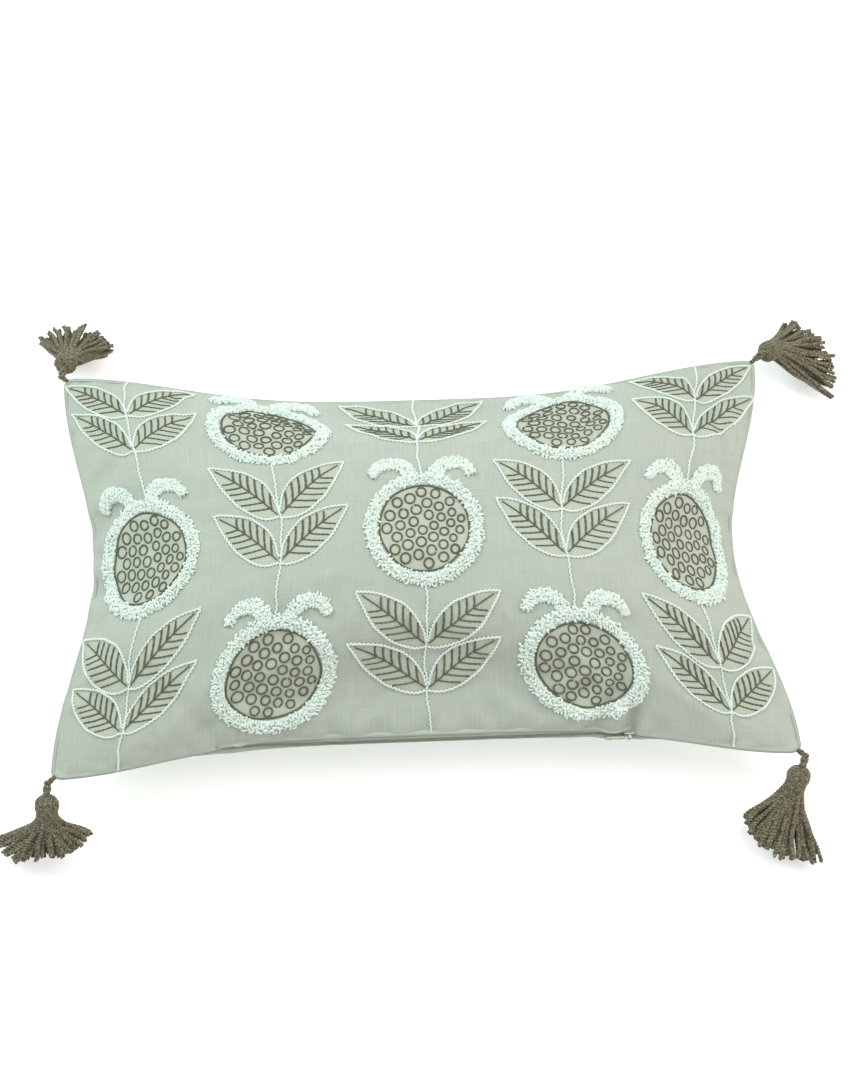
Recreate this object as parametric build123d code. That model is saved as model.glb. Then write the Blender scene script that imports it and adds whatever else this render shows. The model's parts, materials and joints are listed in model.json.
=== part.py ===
from build123d import *

import math
import os
from functools import lru_cache

# A lumbar throw pillow lying on its back, face up: an embroidered cover that closes with a zip and
# carries a tassel at each corner, over a fibre-filled insert. Millimetres. X runs along the width,
# Y from the zipped edge to the far edge, Z up. The origin is the middle of the patch it rests on.

# ---- Cover ---------------------------------------------------------------------------------------
PANEL_WIDTH = 500.0          # one panel between its seams, laid flat
PANEL_DEPTH = 300.0
SIDE_HALF_WIDTH = 219.0      # filled: centre to the middle of a short side, which pulls in
CORNER_HALF_WIDTH = 243.0
SIDE_HALF_DEPTH = 127.0      # centre to the middle of a long side
CORNER_HALF_DEPTH = 143.0
STRAIGHTNESS = 6             # even power: a long side stays straight, then runs out to the corners
SEAM_HEIGHT = 46.0           # of the seam plane above the table
FRONT_RISE = 61.0            # crown of the front panel above the seam
BACK_DROP = 57.0             # the same below it, before the table flattens it
CROWN_FULLNESS = 0.6         # 0 is a plain parabola, more is fuller near the seam
CLOTH = 1.0                  # panel cloth with its interlining
RIM = 0.8                    # straight edge of each panel at the seam
ALLOWANCE = 8.0              # width of the turned-in seam allowance
THREAD_INSET = 1.4           # seam thread, in from the outline
THREAD_WIDTH = 0.8
THREAD_HEIGHT = 1.0

# ---- Insert --------------------------------------------------------------------------------------
INSERT_INSET = 9.5           # the insert stops this far short of the cover's seam
INSERT_SLACK = 1.2           # between the crowns of insert and cover
CASING = 0.8
FILL_BITE = 0.1              # the fill presses this far into its casing

# ---- Zip, in the near long seam ------------------------------------------------------------------
ZIP_LENGTH = 276.0
ZIP_GAP = 5.2                # between the two lips of the cover
TAPE_REACH = 9.0             # of a tape above or below the seam plane
TAPE_BITE = 0.2              # sewn this far into the cloth
TAPE_THICKNESS = 0.6
COIL_RADIUS = 0.9
COIL_ROW = 1.3               # each coil above or below the seam plane
COIL_DEPTH = 1.9             # centre of the coils, in from the cover's edge
STOP_LENGTH = 2.5
STOP_HEIGHT = 4.0
SLIDER_LENGTH = 8.0
SLIDER_HEIGHT = 6.0
SLIDER_INNER_HEIGHT = 4.0
SLIDER_PLATE = 1.0
SLIDER_BLADE = 0.4           # runs in the slit between the coils
SLIDER_PLAY = 0.3
BAIL_HEIGHT = 4.4
BAIL_POST = 0.8
BAIL_PIN = 0.6               # radius of the pin that carries the pull
PIN_CLEARANCE = 0.08
PULL_EYE = 1.3
PULL_LENGTH = 16.0
PULL_WIDTH = 4.0
PULL_NECK = 2.2
PULL_THICKNESS = 1.0

# ---- Embroidery on the front panel, positions in the flat cloth ----------------------------------
COLUMNS = 5
COLUMN_PITCH = 99.0
ROW_PITCH = 94.0             # half of the repeat: neighbouring columns alternate by one row
ROW_SHIFT = -3.0
DISC_RADIUS = 30.0
DISC_LINE = 1.0
SEED_RINGS = ((17, 0.80), (11, 0.50), (5, 0.22))    # how many seeds, at what share of the disc
SEED_RADIUS = 3.1
SEED_LINE = 0.8
TUFT_INNER = 31.5
TUFT_OUTER = 41.0
HORN_ACROSS = 19.0           # middle of a horn's arch from the flower's axis
HORN_ABOVE = 36.0            # and above the flower's centre
HORN_RADIUS = 10.0
HORN_WIDTH = 8.0
LEAF_NODES = (13.5, -18.5)   # where a group's two leaf pairs leave the stem, from its row
LEAF_LENGTH = 62.0
LEAF_WIDTH = 19.0
LEAF_TILT = 38.0             # degrees above the row
LEAF_LINE = 1.8
VEINS = 6
VEIN_LINE = 0.9
STEM_LINE = 1.6
STEM_MARGIN = 3.0            # the stem ends this far from the seam
STITCH_SINK = 0.3            # how far the stitches bite into the cloth
FLAT_STITCH = 1.0            # how far they stand above it
TUFT_PILE = 4.0

# ---- Tassels -------------------------------------------------------------------------------------
ANCHOR_RADIUS = 2.6          # centreline of the thread ring sewn into the corner
ANCHOR_WIRE = 0.7
ANCHOR_PROUD = 0.6           # the ring's centre stands this far out of the corner
LOOP_WIRE = 0.8
LOOP_CLEARANCE = 0.5
LOOP_PITCH = 4.5             # between the centres of the hanging loop's two round ends
EYE_WIRE = 0.8
HEAD_RADIUS = 7.5
HEAD_LENGTH = 16.0
HEAD_START = 2.2             # top of the head from the eye's centre
NECK_RADIUS = 6.0
BINDING_RADIUS = 6.2
BINDING_WIRE = 1.3
SKIRT_LENGTH = 48.0
SKIRT_HALF_WIDTH = 24.0
SKIRT_HALF_THICKNESS = 8.5
HANG = 33.0                  # degrees that a tassel lies below level
# name, side in X, side in Y, and the direction it lies in as degrees from +X
TASSELS = (
    ("far_left", -1, 1, 80.0),
    ("far_right", 1, 1, 35.0),
    ("near_left", -1, -1, 266.0),
    ("near_right", 1, -1, 248.0),
)

FAR = 1000.0
CURVE_STEPS = 400


# ---- The filled shape ----------------------------------------------------------------------------
def crown(q):
    """Share of the rise, from 0 at one seam, q = -1, to 1 in the middle and 0 at the other seam."""
    return (1 - q * q) * (1 + CROWN_FULLNESS * q * q)


def half_width(t):
    """Centre to short side, at t = 0 in the middle and 1 at a corner."""
    return SIDE_HALF_WIDTH + (CORNER_HALF_WIDTH - SIDE_HALF_WIDTH) * t * t


def half_depth(s):
    """Centre to long side, straight along its middle and then out to the corner."""
    return SIDE_HALF_DEPTH + (CORNER_HALF_DEPTH - SIDE_HALF_DEPTH) * s ** STRAIGHTNESS


def plan_point(s, t):
    """X and Y for s across and t along the depth, each from -1 to 1."""
    return s * half_width(t), t * half_depth(s)


def bernstein(powers, degree):
    """Bezier control values on -1 to 1 of the polynomial with these coefficients, lowest first."""
    shifted = [0.0] * (degree + 1)
    for k, value in enumerate(powers):
        for j in range(k + 1):
            shifted[j] += value * math.comb(k, j) * 2 ** j * (-1) ** (k - j)
    return [sum(math.comb(i, k) / math.comb(degree, k) * shifted[k] for k in range(i + 1))
            for i in range(degree + 1)]


def level(dz):
    """Height of something dz above the seam plane."""
    return SEAM_HEIGHT + dz


@lru_cache
def dome(up, inset, lower):
    """Solid from the seam plane to a panel's surface. up is 1 for the front and -1 for the back.
    inset shrinks the outline and lower shrinks the rise; below 0 they grow it."""
    rise = (FRONT_RISE if up > 0 else BACK_DROP) - lower
    n, m = STRAIGHTNESS, 4
    crown_powers = (1, 0, CROWN_FULLNESS - 1, 0, -CROWN_FULLNESS)
    width_powers = (SIDE_HALF_WIDTH - inset, 0, CORNER_HALF_WIDTH - SIDE_HALF_WIDTH)
    depth_powers = [SIDE_HALF_DEPTH - inset] + [0] * (STRAIGHTNESS - 1) + [CORNER_HALF_DEPTH - SIDE_HALF_DEPTH]
    across, half_widths = bernstein((0, 1), n), bernstein(width_powers, m)
    along, half_depths = bernstein((0, 1), m), bernstein(depth_powers, n)
    crown_s, crown_t = bernstein(crown_powers, n), bernstein(crown_powers, m)
    skin = Face.make_bezier_surface([
        [(across[i] * half_widths[j], along[j] * half_depths[i],
          level(up * (RIM + rise * crown_s[i] * crown_t[j]))) for j in range(m + 1)]
        for i in range(n + 1)])
    base = Face(Wire(skin.edges()))
    cap = Solid(Shell([skin, base]))
    return cap + extrude(base, RIM, dir=(0, 0, -up))


def above(shape, height):
    """The part of shape that lies above a height."""
    return shape & Pos(0, 0, height + FAR / 2) * Box(FAR, FAR, FAR)


def block(x_low, x_high, y_low, y_high, z_low, z_high):
    """Box between two corners."""
    middle = Pos((x_low + x_high) / 2, (y_low + y_high) / 2, (z_low + z_high) / 2)
    return middle * Box(x_high - x_low, y_high - y_low, z_high - z_low)


def outline_plate(inset, low, high):
    """Flat plate with the pillow's outline, between two heights from the seam plane."""
    faces = dome(1, inset, inset).faces()
    seam = min(faces, key=lambda face: abs(face.center().Z - SEAM_HEIGHT))
    return Pos(0, 0, low) * extrude(seam, high - low, dir=(0, 0, 1))


def outline_band(outer, inner, low, high):
    """Band along the outline, between two insets from it and two heights from the seam plane."""
    return outline_plate(outer, low, high) - outline_plate(inner, low, high)


def zip_slot():
    half = ZIP_LENGTH / 2
    lip = ZIP_GAP / 2
    near = -SIDE_HALF_DEPTH
    return block(-half, half, near - 2, near + ALLOWANCE + 1, level(-lip), level(lip))


# ---- Cover ---------------------------------------------------------------------------------------
def front_panel():
    wall = dome(1, 0, 0) - dome(1, CLOTH, CLOTH)
    return wall + outline_band(CLOTH / 2, ALLOWANCE, 0, RIM) - zip_slot()


def back_panel():
    wall = above(dome(-1, 0, 0), 0) - above(dome(-1, CLOTH, CLOTH), CLOTH)
    return wall + outline_band(CLOTH / 2, ALLOWANCE, -RIM, 0) - zip_slot()


def seam_thread():
    """Line of lockstitch through both seam allowances, broken where the zip is."""
    half = THREAD_HEIGHT / 2
    line = outline_band(THREAD_INSET, THREAD_INSET + THREAD_WIDTH, -half, half)
    return line - zip_slot()


# ---- Insert --------------------------------------------------------------------------------------
def insert_dome(up, inset):
    return dome(up, INSERT_INSET + inset, CLOTH + INSERT_SLACK + inset)


def casing_front():
    return insert_dome(1, 0) - insert_dome(1, CASING)


def casing_back():
    outer = above(insert_dome(-1, 0), CLOTH)
    return outer - above(insert_dome(-1, CASING), CLOTH + CASING)


def casing_thread():
    """Stitching that closes the insert, inside the edges of its two casing panels."""
    outer = INSERT_INSET + 0.2
    inner = INSERT_INSET + CASING - 0.2
    return outline_band(outer, inner, -THREAD_HEIGHT / 2, THREAD_HEIGHT / 2)


def fibre_fill():
    inset = CASING - FILL_BITE
    low = above(insert_dome(-1, inset), CLOTH + inset)
    return insert_dome(1, inset) + low


# ---- Zip -----------------------------------------------------------------------------------------
def zip_tape(up):
    outer = dome(up, CLOTH - TAPE_BITE, CLOTH - TAPE_BITE)
    inset = CLOTH - TAPE_BITE + TAPE_THICKNESS
    sheet = outer - dome(up, inset, inset)
    half = ZIP_LENGTH / 2
    near = -SIDE_HALF_DEPTH
    low, high = sorted((level(up * COIL_ROW), level(up * TAPE_REACH)))
    return sheet & block(-half, half, near - 2, near + 2 * ALLOWANCE, low, high)


def zip_coil(up):
    """One closed row of the coil, as a plain bar along its tape."""
    bar = Rot(0, 90, 0) * Cylinder(COIL_RADIUS, ZIP_LENGTH)
    return Pos(0, COIL_DEPTH - SIDE_HALF_DEPTH, level(up * COIL_ROW)) * bar


def zip_stop(side):
    """Block that clamps both coils at one end of the zip."""
    middle = COIL_DEPTH - SIDE_HALF_DEPTH
    outer = ZIP_LENGTH / 2
    low, high = sorted((side * outer, side * (outer - STOP_LENGTH)))
    depth = COIL_RADIUS + 0.2
    stop = block(low, high, middle - depth, middle + depth, level(-STOP_HEIGHT / 2), level(STOP_HEIGHT / 2))
    return fillet(stop.edges().filter_by(Axis.X), 0.4)


def slider_x():
    """Middle of the closed slider, just short of the stop at the +X end."""
    return ZIP_LENGTH / 2 - STOP_LENGTH - SLIDER_PLAY - SLIDER_LENGTH / 2


def coil_face(side):
    """Y of the coils' outer, side -1, or inner, side 1, surface."""
    return COIL_DEPTH - SIDE_HALF_DEPTH + side * COIL_RADIUS


def pin_y():
    return coil_face(-1) - SLIDER_PLAY - SLIDER_PLATE - PULL_EYE - SLIDER_PLAY


def zip_slider():
    """Two plates joined by the blade that runs between the coils, with the bail for the pull."""
    half = SLIDER_LENGTH / 2
    outer_face = coil_face(-1) - SLIDER_PLAY
    inner_face = coil_face(1) + SLIDER_PLAY
    tall = SLIDER_HEIGHT / 2
    low = SLIDER_INNER_HEIGHT / 2
    outer = block(-half, half, outer_face - SLIDER_PLATE, outer_face, level(-tall), level(tall))
    outer = fillet(outer.edges().filter_by(Axis.Y), 1.2)
    inner = block(-half, half, inner_face, inner_face + SLIDER_PLATE, level(-low), level(low))
    inner = fillet(inner.edges().filter_by(Axis.Y), 1.2)
    blade = block(-half + 1, half - 1, outer_face - 0.2, inner_face + 0.2,
                  level(-SLIDER_BLADE / 2), level(SLIDER_BLADE / 2))
    body = outer + inner + blade
    top = BAIL_HEIGHT / 2
    front = pin_y() - 1.0
    for side in (-1, 1):
        z_low, z_high = sorted((level(side * top), level(side * (top - BAIL_POST))))
        body += block(-1.0, 1.0, front, outer_face - 0.2, z_low, z_high)
    body += Pos(0, pin_y(), SEAM_HEIGHT) * Cylinder(BAIL_PIN, BAIL_HEIGHT - 0.4)
    return Pos(slider_x(), 0, 0) * body


def zip_pull():
    """Tab on an eye round the bail's pin, lying flat along the zip."""
    eye_height = BAIL_HEIGHT - 2 * BAIL_POST - 2 * SLIDER_PLAY
    half = PULL_THICKNESS / 2
    tab = block(-PULL_LENGTH, -3.0, -half, half, -PULL_WIDTH / 2, PULL_WIDTH / 2)
    tab = fillet(tab.edges().filter_by(Axis.Y), 1.2)
    neck = block(-4.0, 0, -half, half, -PULL_NECK / 2, PULL_NECK / 2)
    pull = tab + neck + Cylinder(PULL_EYE, eye_height)
    pull -= Cylinder(BAIL_PIN + PIN_CLEARANCE, 2 * eye_height)
    pull -= Pos(3.0 - PULL_LENGTH, 0, 0) * Rot(90, 0, 0) * Cylinder(1.0, 2 * PULL_THICKNESS)
    return Pos(slider_x(), pin_y(), SEAM_HEIGHT) * pull


# ---- Embroidery ----------------------------------------------------------------------------------
@lru_cache
def arc_shares(half):
    """Length of the crowned cloth from the middle to each step, as shares of the whole."""
    lengths = [0.0]
    for i in range(CURVE_STEPS):
        q, after = i / CURVE_STEPS, (i + 1) / CURVE_STEPS
        lengths.append(lengths[-1] + math.hypot(half * (after - q), FRONT_RISE * (crown(after) - crown(q))))
    return [length / lengths[-1] for length in lengths]


def share_at(position, flat_half, filled_half):
    """s or t of a point that lies at position in the flat panel, measured from its middle."""
    wanted = min(abs(position) / flat_half, 1.0)
    shares = arc_shares(filled_half)
    i = min(max(sum(share < wanted for share in shares) - 1, 0), CURVE_STEPS - 1)
    part = (wanted - shares[i]) / (shares[i + 1] - shares[i])
    return math.copysign((i + part) / CURVE_STEPS, position)


def on_panel(u, v):
    """Plan position, on the filled front, of a point u, v of the flat panel."""
    s = share_at(u, PANEL_WIDTH / 2, SIDE_HALF_WIDTH)
    t = share_at(v, PANEL_DEPTH / 2, SIDE_HALF_DEPTH)
    return plan_point(s, t)


def front_point(s, t):
    x, y = plan_point(s, t)
    return Vector(x, y, level(RIM + FRONT_RISE * crown(s) * crown(t)))


def cloth_plane(u, v):
    """Plane that touches the front cloth at a point u, v of the flat panel."""
    s = share_at(u, PANEL_WIDTH / 2, SIDE_HALF_WIDTH)
    t = share_at(v, PANEL_DEPTH / 2, SIDE_HALF_DEPTH)
    step = 1e-3
    across = front_point(s + step, t) - front_point(s - step, t)
    along = front_point(s, t + step) - front_point(s, t - step)
    return Plane(origin=front_point(s, t), x_dir=across, z_dir=across.cross(along))


def placed(points, u, v, turn=0.0, mirror=1):
    """Points of a motif, turned by some degrees and moved to u, v in the flat panel."""
    cos, sin = math.cos(math.radians(turn)), math.sin(math.radians(turn))
    return [on_panel(u + mirror * (x * cos - y * sin), v + x * sin + y * cos) for x, y in points]


def smooth_face(points, u, v):
    """Face inside a closed smooth line through the points of a motif."""
    return make_face(Spline(*placed(points, u, v), periodic=True))


def circle_points(radius, count=16):
    return [(radius * math.cos(math.tau * i / count), radius * math.sin(math.tau * i / count))
            for i in range(count)]


def flowers():
    """Flat positions of the flower centres: one in the odd columns and two in the even ones."""
    found = []
    for column in range(COLUMNS):
        u = (column - (COLUMNS - 1) / 2) * COLUMN_PITCH
        rows = (0,) if column % 2 == 0 else (-1, 1)
        found += [(u, row * ROW_PITCH + ROW_SHIFT) for row in rows]
    return found


def leaf_nodes():
    """Flat positions where pairs of leaves leave a stem, in the rows between the flowers."""
    found = []
    for column in range(COLUMNS):
        u = (column - (COLUMNS - 1) / 2) * COLUMN_PITCH
        rows = (-1, 1) if column % 2 == 0 else (0,)
        found += [(u, row * ROW_PITCH + ROW_SHIFT + node) for row in rows for node in LEAF_NODES]
    return found


def stems():
    """Ends of each stem: from a seam, or a flower's lower edge, to between a flower's horns."""
    top = PANEL_DEPTH / 2 - STEM_MARGIN
    found = []
    for column in range(COLUMNS):
        u = (column - (COLUMNS - 1) / 2) * COLUMN_PITCH
        if column % 2 == 0:
            found.append((u, top, ROW_SHIFT + TUFT_OUTER + 1))
            found.append((u, ROW_SHIFT - TUFT_OUTER - 1, -top))
        else:
            found.append((u, ROW_SHIFT + ROW_PITCH - TUFT_OUTER - 1, ROW_SHIFT - ROW_PITCH + TUFT_OUTER + 1))
    return found


@lru_cache
def stitch_layer(height):
    return dome(1, -height, -height) - dome(1, STITCH_SINK, STITCH_SINK)


def stitched(faces, height):
    """Plan faces as stitches of one height that follow the crowned cloth."""
    columns = extrude(Sketch() + faces, 2 * FRONT_RISE)
    return stitch_layer(height) & Pos(0, 0, SEAM_HEIGHT) * columns


def leaf_edge(length, width, start, side):
    """One long edge of a leaf from its base to its tip. The lower side is the rounder one."""
    power = 0.72 if side < 0 else 0.9
    points = []
    for i in range(9):
        q = i / 8
        points.append((start + length * q, side * width / 2 * math.sin(math.pi * q ** power)))
    return points


def leaf_face(length, width, start, u, v, mirror):
    lower = placed(leaf_edge(length, width, start, -1), u, v, LEAF_TILT, mirror)
    upper = placed(leaf_edge(length, width, start, 1), u, v, LEAF_TILT, mirror)
    return make_face([Spline(*lower), Spline(*upper)])


def leaf_outline_stitch():
    faces = []
    for u, v in leaf_nodes():
        for mirror in (-1, 1):
            outer = leaf_face(LEAF_LENGTH, LEAF_WIDTH, 0.6, u, v, mirror)
            inner_length = LEAF_LENGTH - 5 * LEAF_LINE
            inner = leaf_face(inner_length, LEAF_WIDTH - 2 * LEAF_LINE, 0.6 + 1.8 * LEAF_LINE, u, v, mirror)
            faces.append(outer - inner)
    return stitched(faces, FLAT_STITCH)


def fishbone():
    """Outline of a leaf's midrib with its side veins, along +X from the base."""
    half = VEIN_LINE / 2
    start, end = 5.5, LEAF_LENGTH * 0.88
    upper = [(start, half)]
    lower = [(start, -half)]
    for i in range(VEINS):
        root = start + 3 + i * 6.6
        reach = 5.6 * math.sin(math.pi * (0.22 + 0.62 * i / (VEINS - 1)))
        upper += [(root, half), (root + reach * 0.7, reach), (root + reach * 0.7 + 1.3, reach),
                  (root + 1.3, half)]
        lower += [(root, -half), (root + reach, -reach * 0.8), (root + reach + 1.3, -reach * 0.8),
                  (root + 1.3, -half)]
    return upper + [(end, half), (end, -half)] + lower[::-1]


def leaf_vein_stitch():
    faces = []
    for u, v in leaf_nodes():
        for mirror in (-1, 1):
            faces.append(make_face(Polyline(*placed(fishbone(), u, v, LEAF_TILT, mirror), close=True)))
    return stitched(faces, FLAT_STITCH)


def stem_stitch():
    faces = []
    half = STEM_LINE / 2
    for u, high, low in stems():
        heights = [high + (low - high) * i / 6 for i in range(7)]
        left = [on_panel(u - half, v) for v in heights]
        right = [on_panel(u + half, v) for v in heights]
        ends = [Line(left[0], right[0]), Line(left[-1], right[-1])]
        faces.append(make_face([Spline(*left), Spline(*right)] + ends))
    return stitched(faces, FLAT_STITCH)


def flower_outline_stitch():
    faces = []
    half = DISC_LINE / 2
    for u, v in flowers():
        outer = smooth_face(circle_points(DISC_RADIUS + half), u, v)
        faces.append(outer - smooth_face(circle_points(DISC_RADIUS - half), u, v))
    return stitched(faces, FLAT_STITCH)


def seed_stitch():
    """Small rings, each flat on the cloth where it is sewn."""
    ring = extrude(Circle(SEED_RADIUS) - Circle(SEED_RADIUS - SEED_LINE), STITCH_SINK + FLAT_STITCH)
    rings = []
    for u, v in flowers():
        for count, share in SEED_RINGS:
            for i in range(count):
                angle = math.tau * (i + 0.5) / count
                out = share * DISC_RADIUS
                place = cloth_plane(u + out * math.cos(angle), v + out * math.sin(angle))
                rings.append(place * Pos(0, 0, -STITCH_SINK) * ring)
    return Compound(rings)


def tufted_ring():
    faces = []
    for u, v in flowers():
        outer = smooth_face(circle_points(TUFT_OUTER), u, v)
        faces.append(outer - smooth_face(circle_points(TUFT_INNER), u, v))
    return stitched(faces, TUFT_PILE)


def horn_points():
    """Half ring over a horn's middle, its outer edge and then its inner edge back."""
    outer, inner = HORN_RADIUS + HORN_WIDTH / 2, HORN_RADIUS - HORN_WIDTH / 2
    turns = [math.pi * i / 8 for i in range(9)]
    over = [(HORN_ACROSS + outer * math.cos(a), HORN_ABOVE + outer * math.sin(a)) for a in turns]
    under = [(HORN_ACROSS + inner * math.cos(a), HORN_ABOVE + inner * math.sin(a)) for a in turns]
    return over, under[::-1]


def tufted_horns():
    faces = []
    for u, v in flowers():
        ring = smooth_face(circle_points(TUFT_OUTER), u, v)
        for mirror in (-1, 1):
            over, under = [placed(edge, u, v, 0, mirror) for edge in horn_points()]
            edges = [Spline(*over), Spline(*under), Line(over[-1], under[0]), Line(under[-1], over[0])]
            faces.append(make_face(edges) - ring)
    return stitched(faces, TUFT_PILE)


# ---- Tassels -------------------------------------------------------------------------------------
def diagonal(side_x, side_y):
    """Unit direction out of a corner."""
    return side_x * math.sqrt(0.5), side_y * math.sqrt(0.5)


def yaw_point(side_x, side_y):
    """Outermost wire of a corner's anchor ring: the hanging loop turns about the vertical here."""
    out = ANCHOR_PROUD + ANCHOR_RADIUS
    x, y = diagonal(side_x, side_y)
    return side_x * CORNER_HALF_WIDTH + x * out, side_y * CORNER_HALF_DEPTH + y * out


def loop_end():
    return ANCHOR_WIRE + LOOP_WIRE + LOOP_CLEARANCE


def eye_radius():
    return LOOP_WIRE + EYE_WIRE + LOOP_CLEARANCE


def pitch_point(side_x, side_y, heading):
    """Outermost wire of the hanging loop: the tassel tips about it."""
    x, y = yaw_point(side_x, side_y)
    out = LOOP_PITCH + loop_end()
    return x + out * math.cos(math.radians(heading)), y + out * math.sin(math.radians(heading))


def corner_anchor(side_x, side_y):
    """Ring of thread sewn into the corner, standing upright along the diagonal."""
    x, y = diagonal(side_x, side_y)
    heading = math.degrees(math.atan2(y, x))
    ring = Rot(0, 0, heading) * Rot(90, 0, 0) * Torus(ANCHOR_RADIUS, ANCHOR_WIRE)
    place = Pos(side_x * CORNER_HALF_WIDTH + x * ANCHOR_PROUD, side_y * CORNER_HALF_DEPTH + y * ANCHOR_PROUD,
                SEAM_HEIGHT)
    return place * ring


def hanging_loop(side_x, side_y, heading):
    """Long link of cord that lies level and joins the anchor ring to the tassel's eye."""
    end = loop_end()
    path = Line((0, end), (LOOP_PITCH, end))
    path += ThreePointArc((LOOP_PITCH, end), (LOOP_PITCH + end, 0), (LOOP_PITCH, -end))
    path += Line((LOOP_PITCH, -end), (0, -end))
    path += ThreePointArc((0, -end), (-end, 0), (0, end))
    section = Plane(origin=(0, end, 0), z_dir=(1, 0, 0)) * Circle(LOOP_WIRE)
    link = sweep(section, path=path)
    x, y = yaw_point(side_x, side_y)
    return Pos(x, y, SEAM_HEIGHT) * Rot(0, 0, heading) * link


def hung(side_x, side_y, heading, shape):
    """Shape modelled along +X from the tassel's eye, put where the tassel lies."""
    x, y = pitch_point(side_x, side_y, heading)
    return Pos(x, y, SEAM_HEIGHT) * Rot(0, 0, heading) * Rot(0, HANG, 0) * shape


def tassel_head():
    """Bulb of wound yarn with the eye that the hanging loop passes through."""
    centre = HEAD_START + HEAD_LENGTH / 2
    profile = Spline((HEAD_START, 0), (HEAD_START + 2.4, 4.6), (centre, HEAD_RADIUS),
                     (HEAD_START + HEAD_LENGTH - 3, NECK_RADIUS + 0.9),
                     (HEAD_START + HEAD_LENGTH, NECK_RADIUS), tangents=((0, 1), (1, -0.2)))
    side = Polyline((HEAD_START + HEAD_LENGTH, NECK_RADIUS), (HEAD_START + HEAD_LENGTH, 0), (HEAD_START, 0))
    bulb = revolve(make_face([profile, side]), Axis.X)
    return bulb + Rot(90, 0, 0) * Torus(eye_radius(), EYE_WIRE)


def neck_binding():
    """Turns of yarn that tie the neck."""
    ring = Rot(0, 90, 0) * Torus(BINDING_RADIUS, BINDING_WIRE)
    return Pos(HEAD_START + HEAD_LENGTH, 0, 0) * ring


def skirt():
    """Bundle of hanging strands, round at the neck and spread flat at its ends."""
    start = HEAD_START + HEAD_LENGTH
    sections = []
    for share, wide, thick in ((0, NECK_RADIUS, NECK_RADIUS), (0.35, 0.56, 0.86), (1, 1, 1)):
        if share:
            wide, thick = wide * SKIRT_HALF_WIDTH, thick * SKIRT_HALF_THICKNESS
        plane = Plane(origin=(start + share * SKIRT_LENGTH, 0, 0), x_dir=(0, 1, 0), z_dir=(1, 0, 0))
        sections.append(plane * Ellipse(wide, thick + 0.001))
    return loft(sections)


def main():
    os.makedirs("parts", exist_ok=True)
    nodes = {
        "front_panel": front_panel(),
        "back_panel": back_panel(),
        "seam_thread": seam_thread(),
        "insert_casing_front": casing_front(),
        "insert_casing_back": casing_back(),
        "insert_thread": casing_thread(),
        "fibre_fill": fibre_fill(),
        "zip_tape_upper": zip_tape(1),
        "zip_tape_lower": zip_tape(-1),
        "zip_coil_upper": zip_coil(1),
        "zip_coil_lower": zip_coil(-1),
        "zip_top_stop": zip_stop(1),
        "zip_bottom_stop": zip_stop(-1),
        "zip_slider": zip_slider(),
        "zip_pull": zip_pull(),
        "stem_stitch": stem_stitch(),
        "leaf_outline_stitch": leaf_outline_stitch(),
        "leaf_vein_stitch": leaf_vein_stitch(),
        "flower_outline_stitch": flower_outline_stitch(),
        "seed_stitch": seed_stitch(),
        "tufted_ring": tufted_ring(),
        "tufted_horns": tufted_horns(),
    }
    for name, side_x, side_y, heading in TASSELS:
        nodes["anchor_" + name] = corner_anchor(side_x, side_y)
        nodes["loop_" + name] = hanging_loop(side_x, side_y, heading)
        nodes["tassel_head_" + name] = hung(side_x, side_y, heading, tassel_head())
        nodes["neck_binding_" + name] = hung(side_x, side_y, heading, neck_binding())
        nodes["skirt_" + name] = hung(side_x, side_y, heading, skirt())
    for name, shape in nodes.items():
        export_step(shape, f"parts/{name}.step")


if __name__ == "__main__":
    main()
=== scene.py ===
import json
import math

import bpy
import numpy as np
from mathutils import Matrix, Vector


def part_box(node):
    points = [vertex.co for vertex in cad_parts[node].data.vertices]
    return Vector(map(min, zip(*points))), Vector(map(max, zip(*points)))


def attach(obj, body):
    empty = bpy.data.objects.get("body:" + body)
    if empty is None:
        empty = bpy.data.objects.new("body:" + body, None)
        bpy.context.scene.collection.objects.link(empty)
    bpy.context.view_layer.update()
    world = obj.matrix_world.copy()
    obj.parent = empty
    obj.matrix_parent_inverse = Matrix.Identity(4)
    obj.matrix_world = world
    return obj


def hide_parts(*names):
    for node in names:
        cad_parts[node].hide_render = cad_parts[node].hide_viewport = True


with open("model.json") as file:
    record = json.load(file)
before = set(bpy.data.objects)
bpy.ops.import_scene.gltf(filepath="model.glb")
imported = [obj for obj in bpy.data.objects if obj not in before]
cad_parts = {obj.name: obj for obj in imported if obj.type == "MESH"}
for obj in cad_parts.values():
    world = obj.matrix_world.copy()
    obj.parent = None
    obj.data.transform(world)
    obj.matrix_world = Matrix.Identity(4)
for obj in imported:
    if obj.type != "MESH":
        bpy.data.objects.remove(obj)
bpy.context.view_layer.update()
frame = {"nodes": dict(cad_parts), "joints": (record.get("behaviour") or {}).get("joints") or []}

# A throw pillow lying face up: a simulated embroidered cover, its stitches and tufts as real yarn,
# and four corner tassels of twisted strands. Metres, in the CAD frame. Flat cloth positions are u
# across and v along the depth, from the middle of a panel.

MM = 0.001
RNG = np.random.default_rng(11)

# ---- Sizes read from the frame -------------------------------------------------------------------
PANEL_LOW, PANEL_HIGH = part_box("front_panel")
SEAM_Z = PANEL_LOW.z
CORNER_X, CORNER_Y = PANEL_HIGH.x, PANEL_HIGH.y
PULL_IN_X, PULL_IN_Y = 24 * MM, 16 * MM     # the middle of a side, in from its corners, as in the CAD
SIDE_X, SIDE_Y = CORNER_X - PULL_IN_X, CORNER_Y - PULL_IN_Y
RIM = 0.8 * MM                  # straight edge of a CAD panel at the seam
FRONT_RISE = PANEL_HIGH.z - SEAM_Z - RIM
BACK_DROP = 57 * MM
FLAT_X, FLAT_Y = 250 * MM, 150 * MM         # half of a panel laid flat
TABLE_GAP = 0.6 * MM
ZIP_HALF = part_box("zip_tape_upper")[1].x

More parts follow.
